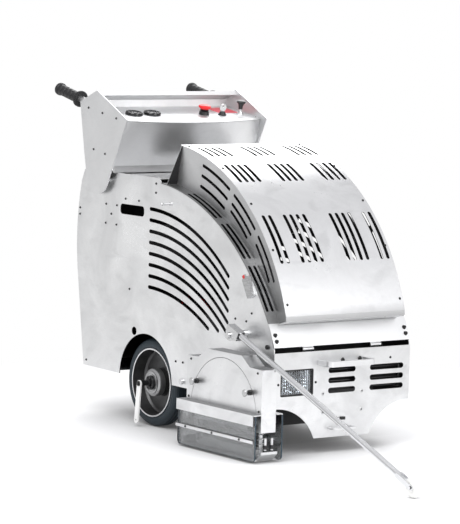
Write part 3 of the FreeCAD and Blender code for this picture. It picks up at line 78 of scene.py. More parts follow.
# ---------------------------------------------------------------- shader helpers
class Shader:
    """A small builder for node materials: every call adds one node and returns its main output."""

    def __init__(self, name):
        self.material = bpy.data.materials.new(name)
        self.material.use_nodes = True
        self.tree = self.material.node_tree
        self.tree.nodes.clear()
        self.output = self.node("ShaderNodeOutputMaterial")
        self.place = self.node("ShaderNodeTexCoord").outputs["Object"]

    def node(self, kind, **values):
        made = self.tree.nodes.new(kind)
        for key, value in values.items():
            if key in made.inputs:
                self.feed(made.inputs[key], value)
            else:
                setattr(made, key, value)
        return made

    def feed(self, socket, value):
        if isinstance(value, bpy.types.NodeSocket):
            self.tree.links.new(value, socket)
        else:
            socket.default_value = value

    def stretched(self, x, y, z):
        made = self.node("ShaderNodeMapping", Vector=self.place)
        made.inputs["Scale"].default_value = (x, y, z)
        return made.outputs[0]

    def noise(self, scale, detail=3.0, rough=0.5, place=None, distort=0.0):
        made = self.node("ShaderNodeTexNoise", Scale=scale, Detail=detail, Roughness=rough,
                         Distortion=distort, Vector=place or self.place)
        return made.outputs[0]

    def remap(self, value, low, high, start=0.0, end=1.0):
        made = self.node("ShaderNodeMapRange", Value=value)
        for name, number in (("From Min", start), ("From Max", end), ("To Min", low), ("To Max", high)):
            made.inputs[name].default_value = number
        return made.outputs[0]

    def maths(self, operation, a, b=0.0):
        made = self.node("ShaderNodeMath", operation=operation)
        self.feed(made.inputs[0], a)
        self.feed(made.inputs[1], b)
        return made.outputs[0]

    def vector(self, operation, a, b=(0, 0, 0)):
        made = self.node("ShaderNodeVectorMath", operation=operation)
        self.feed(made.inputs[0], a)
        self.feed(made.inputs[1], b)
        result = "Value" if operation in ("DOT_PRODUCT", "LENGTH", "DISTANCE") else 0
        return made.outputs[result]

    def near(self, point, reach):
        """1 inside a ball round a point of the row's frame, 0 outside it."""
        return self.maths("LESS_THAN", self.vector("DISTANCE", self.place, tuple(point)), reach)

    def blend(self, share, a, b):
        made = self.node("ShaderNodeMix", data_type="RGBA")
        self.feed(made.inputs["Factor"], share)
        self.feed(made.inputs[6], a)
        self.feed(made.inputs[7], b)
        return made.outputs[2]

    def number(self, share, a, b):
        made = self.node("ShaderNodeMix", data_type="FLOAT")
        self.feed(made.inputs["Factor"], share)
        self.feed(made.inputs[2], a)
        self.feed(made.inputs[3], b)
        return made.outputs[0]

    def bump(self, height, strength, distance=0.001, normal=None):
        made = self.node("ShaderNodeBump", Height=height, Strength=strength, Distance=distance)
        if normal:
            self.feed(made.inputs["Normal"], normal)
        return made.outputs[0]

    def facing(self):
        return self.node("ShaderNodeNewGeometry").outputs["True Normal"]

    def inward(self, centre):
        """1 on faces that look towards a point inside the machine, 0 on outer faces and cut edges."""
        away = self.vector("NORMALIZE", self.vector("SUBTRACT", self.place, tuple(centre)))
        return self.maths("LESS_THAN", self.vector("DOT_PRODUCT", away, self.facing()), -0.3)

    def above(self, value, limit):
        return self.maths("GREATER_THAN", value, limit)

    def below(self, value, limit):
        return self.maths("LESS_THAN", value, limit)

    def every(self, first, *others):
        """1 where all of several masks are 1."""
        for other in others:
            first = self.maths("MULTIPLY", first, other)
        return first

    def between(self, value, low, high):
        return self.every(self.above(value, low), self.below(value, high))

    def axis(self, vector, name):
        return self.node("ShaderNodeSeparateXYZ", Vector=vector).outputs[name]

    def radial(self, arc):
        """Distance from an arc's Y axis, and the direction away from it."""
        flat = self.vector("MULTIPLY", self.vector("SUBTRACT", self.place, (arc[0], 0, arc[1])), (1, 0, 1))
        return self.vector("LENGTH", flat), self.vector("NORMALIZE", flat)

    def shaded_slot_walls(self, kind):
        """1 on the walls of the vents and slots, which get the same painted black shade as the inside of the sheets.
        """
        x, y, z = (self.axis(self.place, name) for name in "XYZ")
        off_centre = self.maths("ABSOLUTE", self.maths("SUBTRACT", y, CENTRE_Y))
        reach, outward = self.radial(RIM_ARC if kind in ("side", "band") else HOOD_ARC)
        across = {"side": (0, 1, 0), "cheek": (0, 1, 0), "front": (1, 0, 0)}.get(kind, outward)
        wall = self.below(self.maths("ABSOLUTE", self.vector("DOT_PRODUCT", across, self.facing())), 0.5)
        if kind == "side":
            return self.every(wall, self.below(reach, 0.735), self.above(z, 0.30), self.above(x, -0.80))
        if kind == "cheek":
            return self.every(wall, self.between(reach, 0.565, 0.655))
        if kind == "front":
            return self.every(wall, self.between(z, 0.178, 0.264), self.above(y, -0.03))
        if kind == "skin":
            return self.every(wall, self.below(off_centre, 0.222), self.above(z, 0.47), self.above(x, -0.385))
        return self.every(wall, self.between(off_centre, 0.222, 0.2585))

    def surface(self, shader):
        self.tree.links.new(shader, self.output.inputs["Surface"])
        return self.material

    def principled(self, color, rough, metal=0.0, normal=None, **extra):
        made = self.node("ShaderNodeBsdfPrincipled", Roughness=rough, **extra)
        self.feed(made.inputs["Metallic"], metal)
        self.feed(made.inputs["Base Color"], color)
        if normal:
            self.feed(made.inputs["Normal"], normal)
        return made.outputs[0]


def rgb(r, g, b):
    return (r, g, b, 1.0)


def grey(tone):
    return rgb(tone, tone * 1.005, tone * 1.012)


# ---------------------------------------------------------------- materials
# Black painted as shade on the inner faces and slot walls of the body's sheets
PAINTED_SHADE_BLACK = rgb(0.006, 0.006, 0.007)


def brushed(name, tone, grain=(1, 1, 14), cloud=0.06, rough=0.34, inner_shade=None, streak=0.03, fade=None):
    """Bare rolled sheet: fine brushing, cloudy handling marks and stray scratches.  The inner faces
    of the body's sheets and the walls of their slots are painted black as shade.  fade paints shade:
    it darkens the sheet towards the lower of two heights or on faces that look up (roof),
    or brightens its front foot below a darker painted-shade tone."""
    s = Shader(name)
    brushing = s.noise(70, 5, 0.65, s.stretched(*grain))
    clouds = s.noise(4.2, 5, 0.6, distort=0.8)
    smudge = s.remap(s.noise(9, 3, 0.5, s.stretched(1, 1, 2.2), 0.4), 0, 1, 0.56, 0.72)
    specks = s.noise(130, 5, 0.7)
    share = s.remap(clouds, 0, 1, 0.34, 0.66)
    color = s.blend(share, grey(tone - cloud), grey(tone + cloud * 0.35))
    color = s.blend(s.maths("MULTIPLY", smudge, 0.5), color, grey(tone - cloud * 1.7))
    color = s.blend(s.remap(brushing, 0, streak * 8, 0.5, 0.75), color, grey(tone - 0.16))
    speckle = s.remap(specks, -0.04, 0.05, 0.35, 0.65)
    gloss = s.maths("ADD", s.remap(share, rough + 0.06, rough - 0.05), speckle)
    metal = 1.0
    if fade == "roof":
        # Painted shade: faces that look up are darkened
        color = s.blend(s.maths("GREATER_THAN", s.axis(s.facing(), "Z"), 0.6), color, grey(tone - 0.30))
    elif fade == "front":
        # The front foot keeps a bright tone; the darker tone above it is painted shade
        color = s.blend(s.maths("LESS_THAN", s.axis(s.place, "Z"), 0.40), color, grey(0.80))
    elif fade:
        # Painted shade: the sheet darkens towards the lower height (the cheeks' foot, the hood skin's lower edge)
        low, high, dark = fade
        color = s.blend(s.remap(s.axis(s.place, "Z"), 1, 0, low, high), color, grey(dark))
    if inner_shade:
        # Painted shade: inner faces, and for the body's sheets their slot walls, turn black and dull
        inner_shade_share = s.inward(BODY_HEART)
        if inner_shade != "plain":
            inner_shade_share = s.maths("MAXIMUM", inner_shade_share, s.shaded_slot_walls(inner_shade))
        color = s.blend(inner_shade_share, color, PAINTED_SHADE_BLACK)
        gloss = s.number(inner_shade_share, gloss, 0.6)
        metal = s.maths("SUBTRACT", 1.0, inner_shade_share)
    normal = s.bump(specks, 0.03, 0.0006, s.bump(brushing, 0.10, 0.0006))
    return s.surface(s.principled(color, gloss, metal, normal))


def paint(name, color, rough, peel=0.04, metal=0.0, vary=0.12):
    """Sprayed or powder-coated paint: faint orange peel, dust in patches and uneven gloss."""
    s = Shader(name)
    soft = s.noise(12, 4)
    peel_height = s.noise(420, 2)
    darker = rgb(*(c * (1 - vary) for c in color[:3]))
    base = s.blend(soft, darker, color)
    uneven = s.maths("ADD", s.remap(soft, -0.06, 0.06), rough)
    return s.surface(s.principled(base, uneven, metal, s.bump(peel_height, peel, 0.001)))


def rubber(name, color, rough, grain=0.25, scale=260, dusty=1.0):
    """Moulded rubber: pores, a dusty bloom in patches and faint mould rings."""
    s = Shader(name)
    dust = s.noise(9, 5, 0.6)
    pores = s.noise(scale, 3, 0.7)
    faded = rgb(*(min(1.0, c * (1 + 0.9 * dusty) + 0.008 * dusty) for c in color[:3]))
    base = s.blend(s.remap(dust, 0, 0.6, 0.45, 0.75), color, faded)
    uneven = s.maths("ADD", s.remap(dust, -0.08, 0.1), rough)
    return s.surface(s.principled(base, uneven, 0.0, s.bump(pores, grain, 0.0006)))


def clear_sheet(name):
    """Scuffed clear polycarbonate: see-through faces with a grey haze, and dark blue sawn edges."""
    s = Shader(name)
    across = s.maths("ABSOLUTE", s.node("ShaderNodeSeparateXYZ", Vector=s.facing()).outputs["Y"])
    edge = s.maths("LESS_THAN", across, 0.6)
    through = s.node("ShaderNodeBsdfTransparent", Color=rgb(0.93, 0.94, 0.945)).outputs[0]
    scratches = s.noise(50, 6, 0.7, s.stretched(1, 1, 3))
    haze_share = s.remap(scratches, 0.0, 0.05, 0.4, 0.75)
    haze = s.node("ShaderNodeBsdfDiffuse", Color=rgb(0.55, 0.57, 0.58)).outputs[0]
    face = s.node("ShaderNodeMixShader", Fac=haze_share)
    s.tree.links.new(through, face.inputs[1])
    s.tree.links.new(haze, face.inputs[2])
    sheen = s.node("ShaderNodeBsdfGlossy", Roughness=s.remap(scratches, 0.05, 0.2)).outputs[0]
    fresnel = s.node("ShaderNodeFresnel", IOR=1.45).outputs[0]
    shown = s.node("ShaderNodeMixShader", Fac=s.maths("MULTIPLY", fresnel, 0.8))
    s.tree.links.new(face.outputs[0], shown.inputs[1])
    s.tree.links.new(sheen, shown.inputs[2])
    rim = s.principled(rgb(0.012, 0.03, 0.045), 0.12)
    both = s.node("ShaderNodeMixShader", Fac=edge)
    s.tree.links.new(shown.outputs[0], both.inputs[1])
    s.tree.links.new(rim, both.inputs[2])
    return s.surface(both.outputs[0])


def lamp_lens(name):
    """The headlight's glass: clear, with moulded flutes."""
    s = Shader(name)
    flutes = s.node("ShaderNodeTexWave", Scale=38.0, Distortion=0.4, Vector=s.place)
    flutes.bands_direction = "Y"
    normal = s.bump(flutes.outputs["Fac"], 0.35, 0.001)
    through = s.node("ShaderNodeBsdfTransparent", Color=rgb(0.93, 0.95, 0.97)).outputs[0]
    sheen = s.node("ShaderNodeBsdfGlossy", Roughness=0.03, Normal=normal).outputs[0]
    fresnel = s.node("ShaderNodeFresnel", IOR=1.5, Normal=normal).outputs[0]
    shown = s.node("ShaderNodeMixShader", Fac=fresnel)
    s.tree.links.new(through, shown.inputs[1])
    s.tree.links.new(sheen, shown.inputs[2])
    return s.surface(shown.outputs[0])


def latch_sheet(name):
    """The latch's lever is brushed sheet, and its thumb tab is red."""
    s = Shader(name)
    tab = s.near(LATCH_TAB, 0.0068)
    grain = s.noise(90, 4, 0.6, s.stretched(1, 1, 8))
    sheet = s.blend(s.remap(grain, 0, 1, 0.35, 0.65), grey(0.36), grey(0.52))
    color = s.blend(tab, sheet, rgb(0.55, 0.02, 0.018))
    return s.surface(s.principled(color, 0.36, s.maths("SUBTRACT", 1.0, tab), s.bump(grain, 0.08, 0.0005)))


def fastener_zinc(name, bright_spots):
    """Small black-finished screws; the pieces near the given points are bright round a dark recess."""
    s = Shader(name)
    pits = s.noise(300, 4, 0.6)
    spots = 0.0
    for point, reach, recess in bright_spots:
        ring = s.maths("SUBTRACT", s.near(point, reach), s.near(point, recess))
        spots = s.maths("MAXIMUM", spots, ring)
    color = s.blend(spots, s.blend(pits, grey(0.025), grey(0.06)), s.blend(pits, grey(0.5), grey(0.7)))
    return s.surface(s.principled(color, s.remap(pits, 0.25, 0.42), 0.9, s.bump(pits, 0.1, 0.0004)))


latch_low, latch_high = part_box("hood_latch")
LATCH_TAB = Vector((latch_low.x + 0.0096, latch_low.y + 0.003, latch_high.z - 0.0078))
REST_PIN = Vector((-0.3272, -0.2278, 0.720))         # the pin that the raised pointer lies on
CLIP_NUT = Vector((-0.2412, -0.2190, 0.169))         # the plain nut behind the guard

FRONT_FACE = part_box("front_panel")[1].x
SUNK_SCREWS = [((FRONT_FACE + 0.0016, CENTRE_Y + y, z), 0.0085, 0.0027)
               for y, z in ((-0.075, 0.182), (0.075, 0.182), (-0.074, 0.125), (0.074, 0.125))]


def make_materials():
    return {
        "bright_sheet": brushed("bright_sheet", 0.80, inner_shade="plain"),
        "side_sheet": brushed("side_sheet", 0.80, cloud=0.12, inner_shade="side", streak=0.07),
        "front_sheet": brushed("front_sheet", 0.74, cloud=0.14, inner_shade="front", streak=0.05),
        # Guard: its up-facing faces carry painted shade
        "bright_guard": brushed("bright_guard", 0.74, (12, 1, 2), 0.10, 0.36, fade="roof"),
        "bright_console": brushed("bright_console", 0.76, (1.5, 1, 14), 0.06, 0.36),
        "dash_sheet": brushed("dash_sheet", 0.82, (1.5, 12, 1), 0.04, 0.5),
        # Cheeks: a darker copy of the bright sheet, with painted shade deepening towards their foot
        "cheek_sheet": brushed("cheek_sheet", 0.66, (1, 1, 10), 0.08, 0.42, "cheek", fade=(0.40, 0.86, 0.26)),
        # Base band: a dark painted-shade tone on the ledges, bright only on its front foot
        "band_sheet": brushed("band_sheet", 0.30, (1, 1, 10), 0.05, 0.42, "band", fade="front"),
        # Hood skin: a painted dark reflection band just above its lower edge
        "hood_sheet": brushed("hood_sheet", 0.80, (1, 10, 1), 0.11, 0.34, "skin", 0.03, (0.405, 0.45, 0.42)),
        "satin_tube": paint("satin_tube", rgb(0.72, 0.725, 0.735), 0.26, 0.01, 1.0, 0.05),
        "black_steel": paint("black_steel", rgb(0.010, 0.010, 0.011), 0.42, 0.12),
        "zinc_fastener": brushed("zinc_fastener", 0.60, (1, 1, 1), 0.05, 0.28),
        "screws": fastener_zinc("screws", ((REST_PIN, 0.024, 0), (CLIP_NUT, 0.016, 0), *SUNK_SCREWS)),
        "hood_screws": fastener_zinc("hood_screws", ()),
        "grip_rubber": rubber("grip_rubber", rgb(0.005, 0.005, 0.006), 0.5, 0.15, 260, 0.25),
        "black_plastic": paint("black_plastic", rgb(0.008, 0.008, 0.009), 0.33, 0.1),
        "gauge_black": paint("gauge_black", rgb(0.006, 0.006, 0.007), 0.12, 0.02),
        "chrome": brushed("chrome", 0.78, (1, 1, 1), 0.02, 0.1),
        "mirror": brushed("mirror", 0.95, (1, 1, 1), 0.01, 0.08, streak=0.005),
        "knob_metal": brushed("knob_metal", 0.52, (2, 2, 2), 0.05, 0.3),
        "red_plastic": paint("red_plastic", rgb(0.78, 0.012, 0.016), 0.3, 0.05),
        "legend_red": paint("legend_red", rgb(0.76, 0.10, 0.13), 0.35, 0.05),
        "cast_metal": paint("cast_metal", rgb(0.10, 0.103, 0.108), 0.48, 0.45, 0.7, 0.3),
        "belt_rubber": rubber("belt_rubber", rgb(0.010, 0.010, 0.010), 0.6),
        "clear_plastic": clear_sheet("clear_plastic"),
        "lamp_lens": lamp_lens("lamp_lens"),
        "blade_steel": brushed("blade_steel", 0.36, (6, 6, 6), 0.06, 0.3),
        "rim_metal": brushed("rim_metal", 0.14, (3, 3, 3), 0.05, 0.5),
        "rim_bright": brushed("rim_bright", 0.75, (3, 3, 3), 0.05, 0.3),
        "hub_metal": brushed("hub_metal", 0.42, (3, 3, 3), 0.06, 0.38),
        "tyre_rubber": rubber("tyre_rubber", rgb(0.006, 0.015, 0.022), 0.55, 0.12, 200, 0.25),
        "white_paint": paint("white_paint", rgb(0.86, 0.86, 0.85), 0.3, 0.03, 0.0, 0.04),
        "white_nylon": paint("white_nylon", rgb(0.85, 0.85, 0.83), 0.35, 0.03, 0.0, 0.04),
        "latch": latch_sheet("latch"),
    }


MATERIALS = make_materials()
FINISH = {
    "guard_housing": "bright_guard", "guard_outer_plate": "bright_guard", "blade_cover": "bright_guard",
    "skirt_rails": "bright_guard", "clamp_strips": "bright_guard", "skid_plate": "bright_guard",
    "side_panel_right": "side_sheet", "side_panel_left": "side_sheet", "front_panel": "front_sheet",
    "console_side_plates": "bright_console", "console_front_sheet": "bright_console",
    "console_back_panel": "dash_sheet", "dash_panel": "dash_sheet",
    "handle_tubes": "bright_console", "front_handle": "bright_console", "tow_loop": "bright_console",
    "hood_frame": "cheek_sheet", "hood_base_band": "band_sheet", "hood_skin": "hood_sheet",
    "pointer_channel": "zinc_fastener", "pointer_rod": "satin_tube",
    "panel_fasteners": "screws", "hood_screws": "hood_screws",
    "hood_latch": "latch", "key_switch": "black_plastic", "legend_plate": "legend_red",
    "headlight_lens": "lamp_lens",
}


def dress(obj, material):
    obj.data.materials.clear()
    obj.data.materials.append(MATERIALS[material])


for node_name, node_object in NODES.items():
    dress(node_object, FINISH.get(node_name, SLOT[node_name]))


# ---------------------------------------------------------------- mesh helpers
def settle(name, mesh_code, material, body, sharp=35, at=None):
    """Turn mesh code into a finished piece: normals outward, smooth faces with sharp corners."""
    bmesh.ops.recalc_face_normals(mesh_code, faces=mesh_code.faces)
    for edge in mesh_code.edges:
        edge.smooth = edge.calc_face_angle(0) < math.radians(sharp)
    for face in mesh_code.faces:
        face.smooth = True
    mesh = bpy.data.meshes.new(name)
    mesh_code.to_mesh(mesh)
    mesh_code.free()
    made = bpy.data.objects.new(name, mesh)
    bpy.context.scene.collection.objects.link(made)
    if at is not None:
        made.matrix_world = at
    mesh.materials.append(MATERIALS[material])
    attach(made, body)
    return made


def turned(mesh_code, profile, place=Matrix(), steps=96, closed=False):
    """Add a turned shape about the local Z axis of a place; profile holds (radius, height) corners."""
    rings = []
    for radius, height in profile:
        count = 1 if radius < 1e-7 else steps
        rings.append([mesh_code.verts.new(place @ Vector((
            radius * math.cos(2 * math.pi * i / steps), radius * math.sin(2 * math.pi * i / steps), height)))
            for i in range(count)])
    pairs = list(zip(rings, rings[1:])) + ([(rings[-1], rings[0])] if closed else [])
    for low, high in pairs:
        for i in range(steps):
            j = (i + 1) % steps
            corners = [low[i % len(low)], low[j % len(low)], high[j % len(high)], high[i % len(high)]]
            corners = list(dict.fromkeys(corners))
            if len(corners) > 2:
                mesh_code.faces.new(corners)


def block(mesh_code, low, high, bevel=0.0, place=Matrix(), rings=2):
    """Add a box with rounded edges."""
    made = bmesh.new()
    bmesh.ops.create_cube(made, size=1)
    low, high = Vector(low), Vector(high)
    for vertex in made.verts:
        vertex.co = Vector((a + (b - a) * (c + 0.5) for a, b, c in zip(low, high, vertex.co)))
    if bevel:
        bmesh.ops.bevel(made, geom=made.edges[:] + made.verts[:], offset=bevel, segments=rings, profile=0.5,
                        affect="EDGES", clamp_overlap=True)
    copied = {vertex: mesh_code.verts.new(place @ vertex.co) for vertex in made.verts}
    for face in made.faces:
        mesh_code.faces.new([copied[vertex] for vertex in face.verts])
    made.free()


def facing_place(point, direction):
    """A place whose local Z axis points along a direction."""
    return Matrix.Translation(point) @ Vector(direction).to_track_quat("Z", "Y").to_matrix().to_4x4()


def hose(name, points, radius, material, body):
    """A smooth round cable or hose through a few points."""
    curve = bpy.data.curves.new(name, "CURVE")
    curve.dimensions = "3D"
    curve.bevel_depth = radius
    curve.bevel_resolution = 4
    curve.resolution_u = 10
    curve.use_fill_caps = True
    line = curve.splines.new("BEZIER")
    line.bezier_points.add(len(points) - 1)
    for knot, point in zip(line.bezier_points, points):
        knot.co = point
        knot.handle_left_type = knot.handle_right_type = "AUTO"
    made = bpy.data.objects.new(name, curve)
    bpy.context.scene.collection.objects.link(made)
    curve.materials.append(MATERIALS[material])
    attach(made, body)
    return made


RIGHT = Vector((0, -1, 0))
DASH_PLACE = Matrix.Rotation(DASH_TILT, 4, "Y")


# ---------------------------------------------------------------- wheels
def wheel_place(joint, node, side):
    """The wheel's centre, with local Z pointing out of the machine."""
    low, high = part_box(node)
    centre = pivot(joint)
    middle = Vector((centre.x, (low.y + high.y) / 2, centre.z))
    return facing_place(middle, (0, side, 0)), (high.y - low.y) / 2


def rear_tyre(side_name, side):
    """A solid rubber tyre: rounded shoulders, a step at the rim and three shallow tread grooves."""
    node = "rear_tyre_" + side_name
    place, half = wheel_place(f"rear_wheel_{side_name}_spin", node, side)
    low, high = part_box(node)
    outer, bead = (high.z - low.z) / 2, 0.1103
    side_wall = [(bead, half - 0.004), (bead + 0.003, half - 0.001), (bead + 0.007, half),
                 (outer - 0.016, half - 0.0002), (outer - 0.009, half - 0.0022), (outer - 0.0035, half - 0.007),
                 (outer - 0.0006, half - 0.013)]
    tread = [(outer, half - 0.015)]
    for groove in (0.013, 0.0, -0.013):
        tread += [(outer, groove + 0.0012), (outer - 0.003, groove + 0.0009),
                  (outer - 0.003, groove - 0.0009), (outer, groove - 0.0012)]
    mirrored = [(radius, -height) for radius, height in reversed(side_wall)]
    profile = side_wall + tread + [(outer, -half + 0.015)] + mirrored
    code = bmesh.new()
    turned(code, profile, place, 128, closed=True)
    made = settle("solid_tyre_" + side_name, code, "tyre_rubber", "rear_wheel_" + side_name)
    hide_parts(node)


def rim_trim(side_name, side):
    """The rim's bright rolled lip and the ringed face of its hub."""
    place, half = wheel_place(f"rear_wheel_{side_name}_spin", "rear_tyre_" + side_name, side)
    lip = bmesh.new()
    turned(lip, [(0.1055, half + 0.0004), (0.1068, half + 0.0012), (0.1088, half + 0.0012),
                 (0.1101, half + 0.0004), (0.1101, half - 0.004), (0.1055, half - 0.004)],
           place, 128, closed=True)
    settle("rim_lip_" + side_name, lip, "rim_bright", "rear_wheel_" + side_name)
    face = bmesh.new()
    profile = [(0.0232, half + 0.0003), (0.027, half + 0.0006), (0.0275, half - 0.0012), (0.0305, half - 0.0012),
               (0.031, half), (0.0355, half), (0.036, half - 0.0022), (0.0435, half - 0.0055),
               (0.0445, half - 0.0075), (0.0445, half - 0.026), (0.0232, half - 0.026)]
    turned(face, profile, place, 96, closed=True)
    settle("hub_face_" + side_name, face, "hub_metal", "rear_wheel_" + side_name)


def hub_cap(side_name, side):
    """The black castle nut and cap over each rear wheel's stub."""
    place, half = wheel_place(f"rear_wheel_{side_name}_spin", "rear_tyre_" + side_name, side)
    code = bmesh.new()
    turned(code, [(0, half + 0.0122), (0.008, half + 0.0122), (0.0105, half + 0.0105), (0.0125, half + 0.0092),
                  (0.0205, half + 0.0092), (0.0224, half + 0.0075), (0.0224, half + 0.0005), (0, half + 0.0005)],
           place, 72)
    for i in range(6):
        spin = place @ Matrix.Rotation(math.radians(60 * i), 4, "Z")
        block(code, (0.0135, -0.0035, half + 0.008), (0.0200, 0.0035, half + 0.0115), 0.0008, spin)
    settle("hub_cap_" + side_name, code, "black_plastic", "chassis", 30)


def front_tyre(side_name, side):
    node = "front_wheel_" + side_name
    place, half = wheel_place(f"front_wheel_{side_name}_spin", node, side)
    low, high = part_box(node)
    outer = (high.z - low.z) / 2
    one = [(0.0085, half), (0.016, half), (0.018, half - 0.002), (0.020, half - 0.006), (outer - 0.016, half - 0.006),
           (outer - 0.013, half - 0.001), (outer - 0.008, half), (outer - 0.002, half - 0.003),
           (outer, half - 0.008)]
    profile = one + [(radius, -height) for radius, height in reversed(one)]
    code = bmesh.new()
    turned(code, profile, place, 96, closed=True)
    made = settle("front_tyre_" + side_name, code, "tyre_rubber", node)
    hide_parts(node)


for wheel_side, wheel_sign in (("right", -1), ("left", 1)):
    rear_tyre(wheel_side, wheel_sign)
    rim_trim(wheel_side, wheel_sign)
    hub_cap(wheel_side, wheel_sign)
    front_tyre(wheel_side, wheel_sign)


def lever_bolt():
    """The black shoulder bolt in the lever's upper eye and the sleeve between it and the hub."""
    centre = pivot("hub_lever_turn")
    low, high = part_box("hub_lever")
    place = facing_place(Vector((centre.x, low.y, centre.z)), RIGHT)
    code = bmesh.new()
    turned(code, [(0, 0.0068), (0.0045, 0.0068), (0.0052, 0.0058), (0.0052, 0.0035), (0.0075, 0.0035),
                  (0.0082, 0.0028), (0.0082, 0.0002), (0, 0.0002)], place, 6 * 8)
    gap = 0.038
    turned(code, [(0.0074, -0.0052), (0.0085, -0.0056), (0.0085, -gap + 0.006), (0.013, -gap + 0.004),
                  (0.013, -gap), (0.0074, -gap)], place, 48, closed=True)
    settle("lever_bolt", code, "black_plastic", "chassis", 30)


lever_bolt()


# ---------------------------------------------------------------- console controls
def gauges():
    """Two round gauges: rolled black bezels, dials with ticks and a needle, and domed glasses."""
    low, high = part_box("gauges")
    reach, tall = 0.029, 0.011
    foot_x = high.x - reach * math.cos(DASH_TILT) - 0.007 * math.sin(DASH_TILT)
    foot_z = high.z - tall * math.cos(DASH_TILT) - 0.025 * math.sin(DASH_TILT)
    bezel, ticks, glass = bmesh.new(), bmesh.new(), bmesh.new()
    for y in (low.y + reach, high.y - reach):
        place = Matrix.Translation((foot_x, y, foot_z)) @ DASH_PLACE
        turned(bezel, [(0, -0.038), (0.022, -0.038), (0.0245, -0.036), (0.0245, 0), (reach, 0), (reach, 0.004),
                       (reach - 0.0006, 0.0075), (reach - 0.0025, 0.0100), (reach - 0.0045, tall - 0.0004),
                       (reach - 0.006, 0.0098), (reach - 0.0066, 0.006), (0, 0.006)], place)
        for i in range(19):
            spin = place @ Matrix.Rotation(math.radians(-135 + 15 * i), 4, "Z")
            inner = 0.0168 if i % 3 == 0 else 0.0184
            block(ticks, (inner, -0.0004, 0.0060), (0.0206, 0.0004, 0.0063), 0, spin)
        needle = place @ Matrix.Rotation(math.radians(-128), 4, "Z")
        block(ticks, (-0.004, -0.0005, 0.0066), (0.0165, 0.0005, 0.0070), 0, needle)
        turned(ticks, [(0, 0.0076), (0.002, 0.0074), (0.0026, 0.006), (0, 0.006)], place, 24)
        turned(glass, [(0, 0.0108), (0.010, 0.0103), (0.018, 0.0092), (0.0222, 0.0078), (0.0222, 0.0070),
                       (0.018, 0.0084), (0.010, 0.0095), (0, 0.0100)], place)
    made = settle("gauge_bodies", bezel, "gauge_black", "chassis")
    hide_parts("gauges")
    settle("gauge_marks", ticks, "white_paint", "chassis")
    settle("gauge_glasses", glass, "lamp_lens", "chassis")


gauges()


def stop_button():
    """The red mushroom button with its rolled edge, and the black collar and bellows under it."""
    low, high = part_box("emergency_stop_base")
    seat = pivot("key_turn")
    y = (low.y + high.y) / 2
    axis = Vector(JOINTS["emergency_stop_push"]["axis"]) * -1
    foot = Vector((seat.x - 0.010, y, seat.z + 0.010 * math.tan(DASH_TILT)))
    place = facing_place(foot, axis)
    code = bmesh.new()
    turned(code, [(0, 0.0335), (0.010, 0.0332), (0.0165, 0.0322), (0.0200, 0.0300), (0.0208, 0.0275),
                  (0.0200, 0.0245), (0.0180, 0.0225), (0.0150, 0.0210), (0.0142, 0.0190), (0.0058, 0.0190),
                  (0.0058, -0.008), (0, -0.008)], place, 72)
    made = settle("stop_cap", code, "red_plastic", "stop_button")
    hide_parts("emergency_stop_button")
    collar = bmesh.new()
    turned(collar, [(0.0062, 0.0116), (0.0145, 0.0116), (0.0160, 0.0100), (0.0166, 0.0050), (0.0172, 0.0010),
                    (0.0175, 0.0000), (0.0062, 0.0000)], place, 72, closed=True)
    settle("stop_collar", collar, "black_plastic", "chassis")
    foot_height, top_height = 0.0117, 0.0187
    bellows = bmesh.new()
    turned(bellows, [(0.0062, top_height), (0.0130, top_height), (0.0138, 0.0176), (0.0126, 0.0165),
                     (0.0142, 0.0153), (0.0130, 0.0141), (0.0148, 0.0129), (0.0142, foot_height),
                     (0.0062, foot_height)], place, 72, closed=True)
    made = settle("stop_bellows", bellows, "black_plastic", "chassis")
    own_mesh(made)


stop_button()


def throttle_cap():
    """The black pull knob: a flared cap on a waisted neck, over a plated rod."""
    axis = Vector(JOINTS["throttle_pull"]["axis"])
    top_low, top_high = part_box("throttle_knob")
    y = (top_low.y + top_high.y) / 2
    foot_x = pivot("key_turn").x - 0.005
    foot_z = pivot("key_turn").z + 0.005 * math.tan(DASH_TILT)
    place = facing_place(Vector((foot_x, y, foot_z)), axis)
    code = bmesh.new()
    turned(code, [(0, 0.0478), (0.008, 0.0476), (0.0125, 0.0464), (0.0148, 0.0440), (0.0152, 0.0420),
                  (0.0140, 0.0395), (0.0105, 0.0372), (0.0085, 0.0330), (0.0072, 0.0260), (0.0066, 0.0185),
                  (0.0042, 0.0180), (0, 0.0180)], place, 72)
    settle("throttle_cap", code, "black_plastic", "throttle")
    rod = bmesh.new()
    turned(rod, [(0, 0.0182), (0.0040, 0.0182), (0.0040, -0.070), (0, -0.070)], place, 32)
    made = settle("throttle_rod", rod, "chrome", "throttle")
    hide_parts("throttle_knob")


throttle_cap()


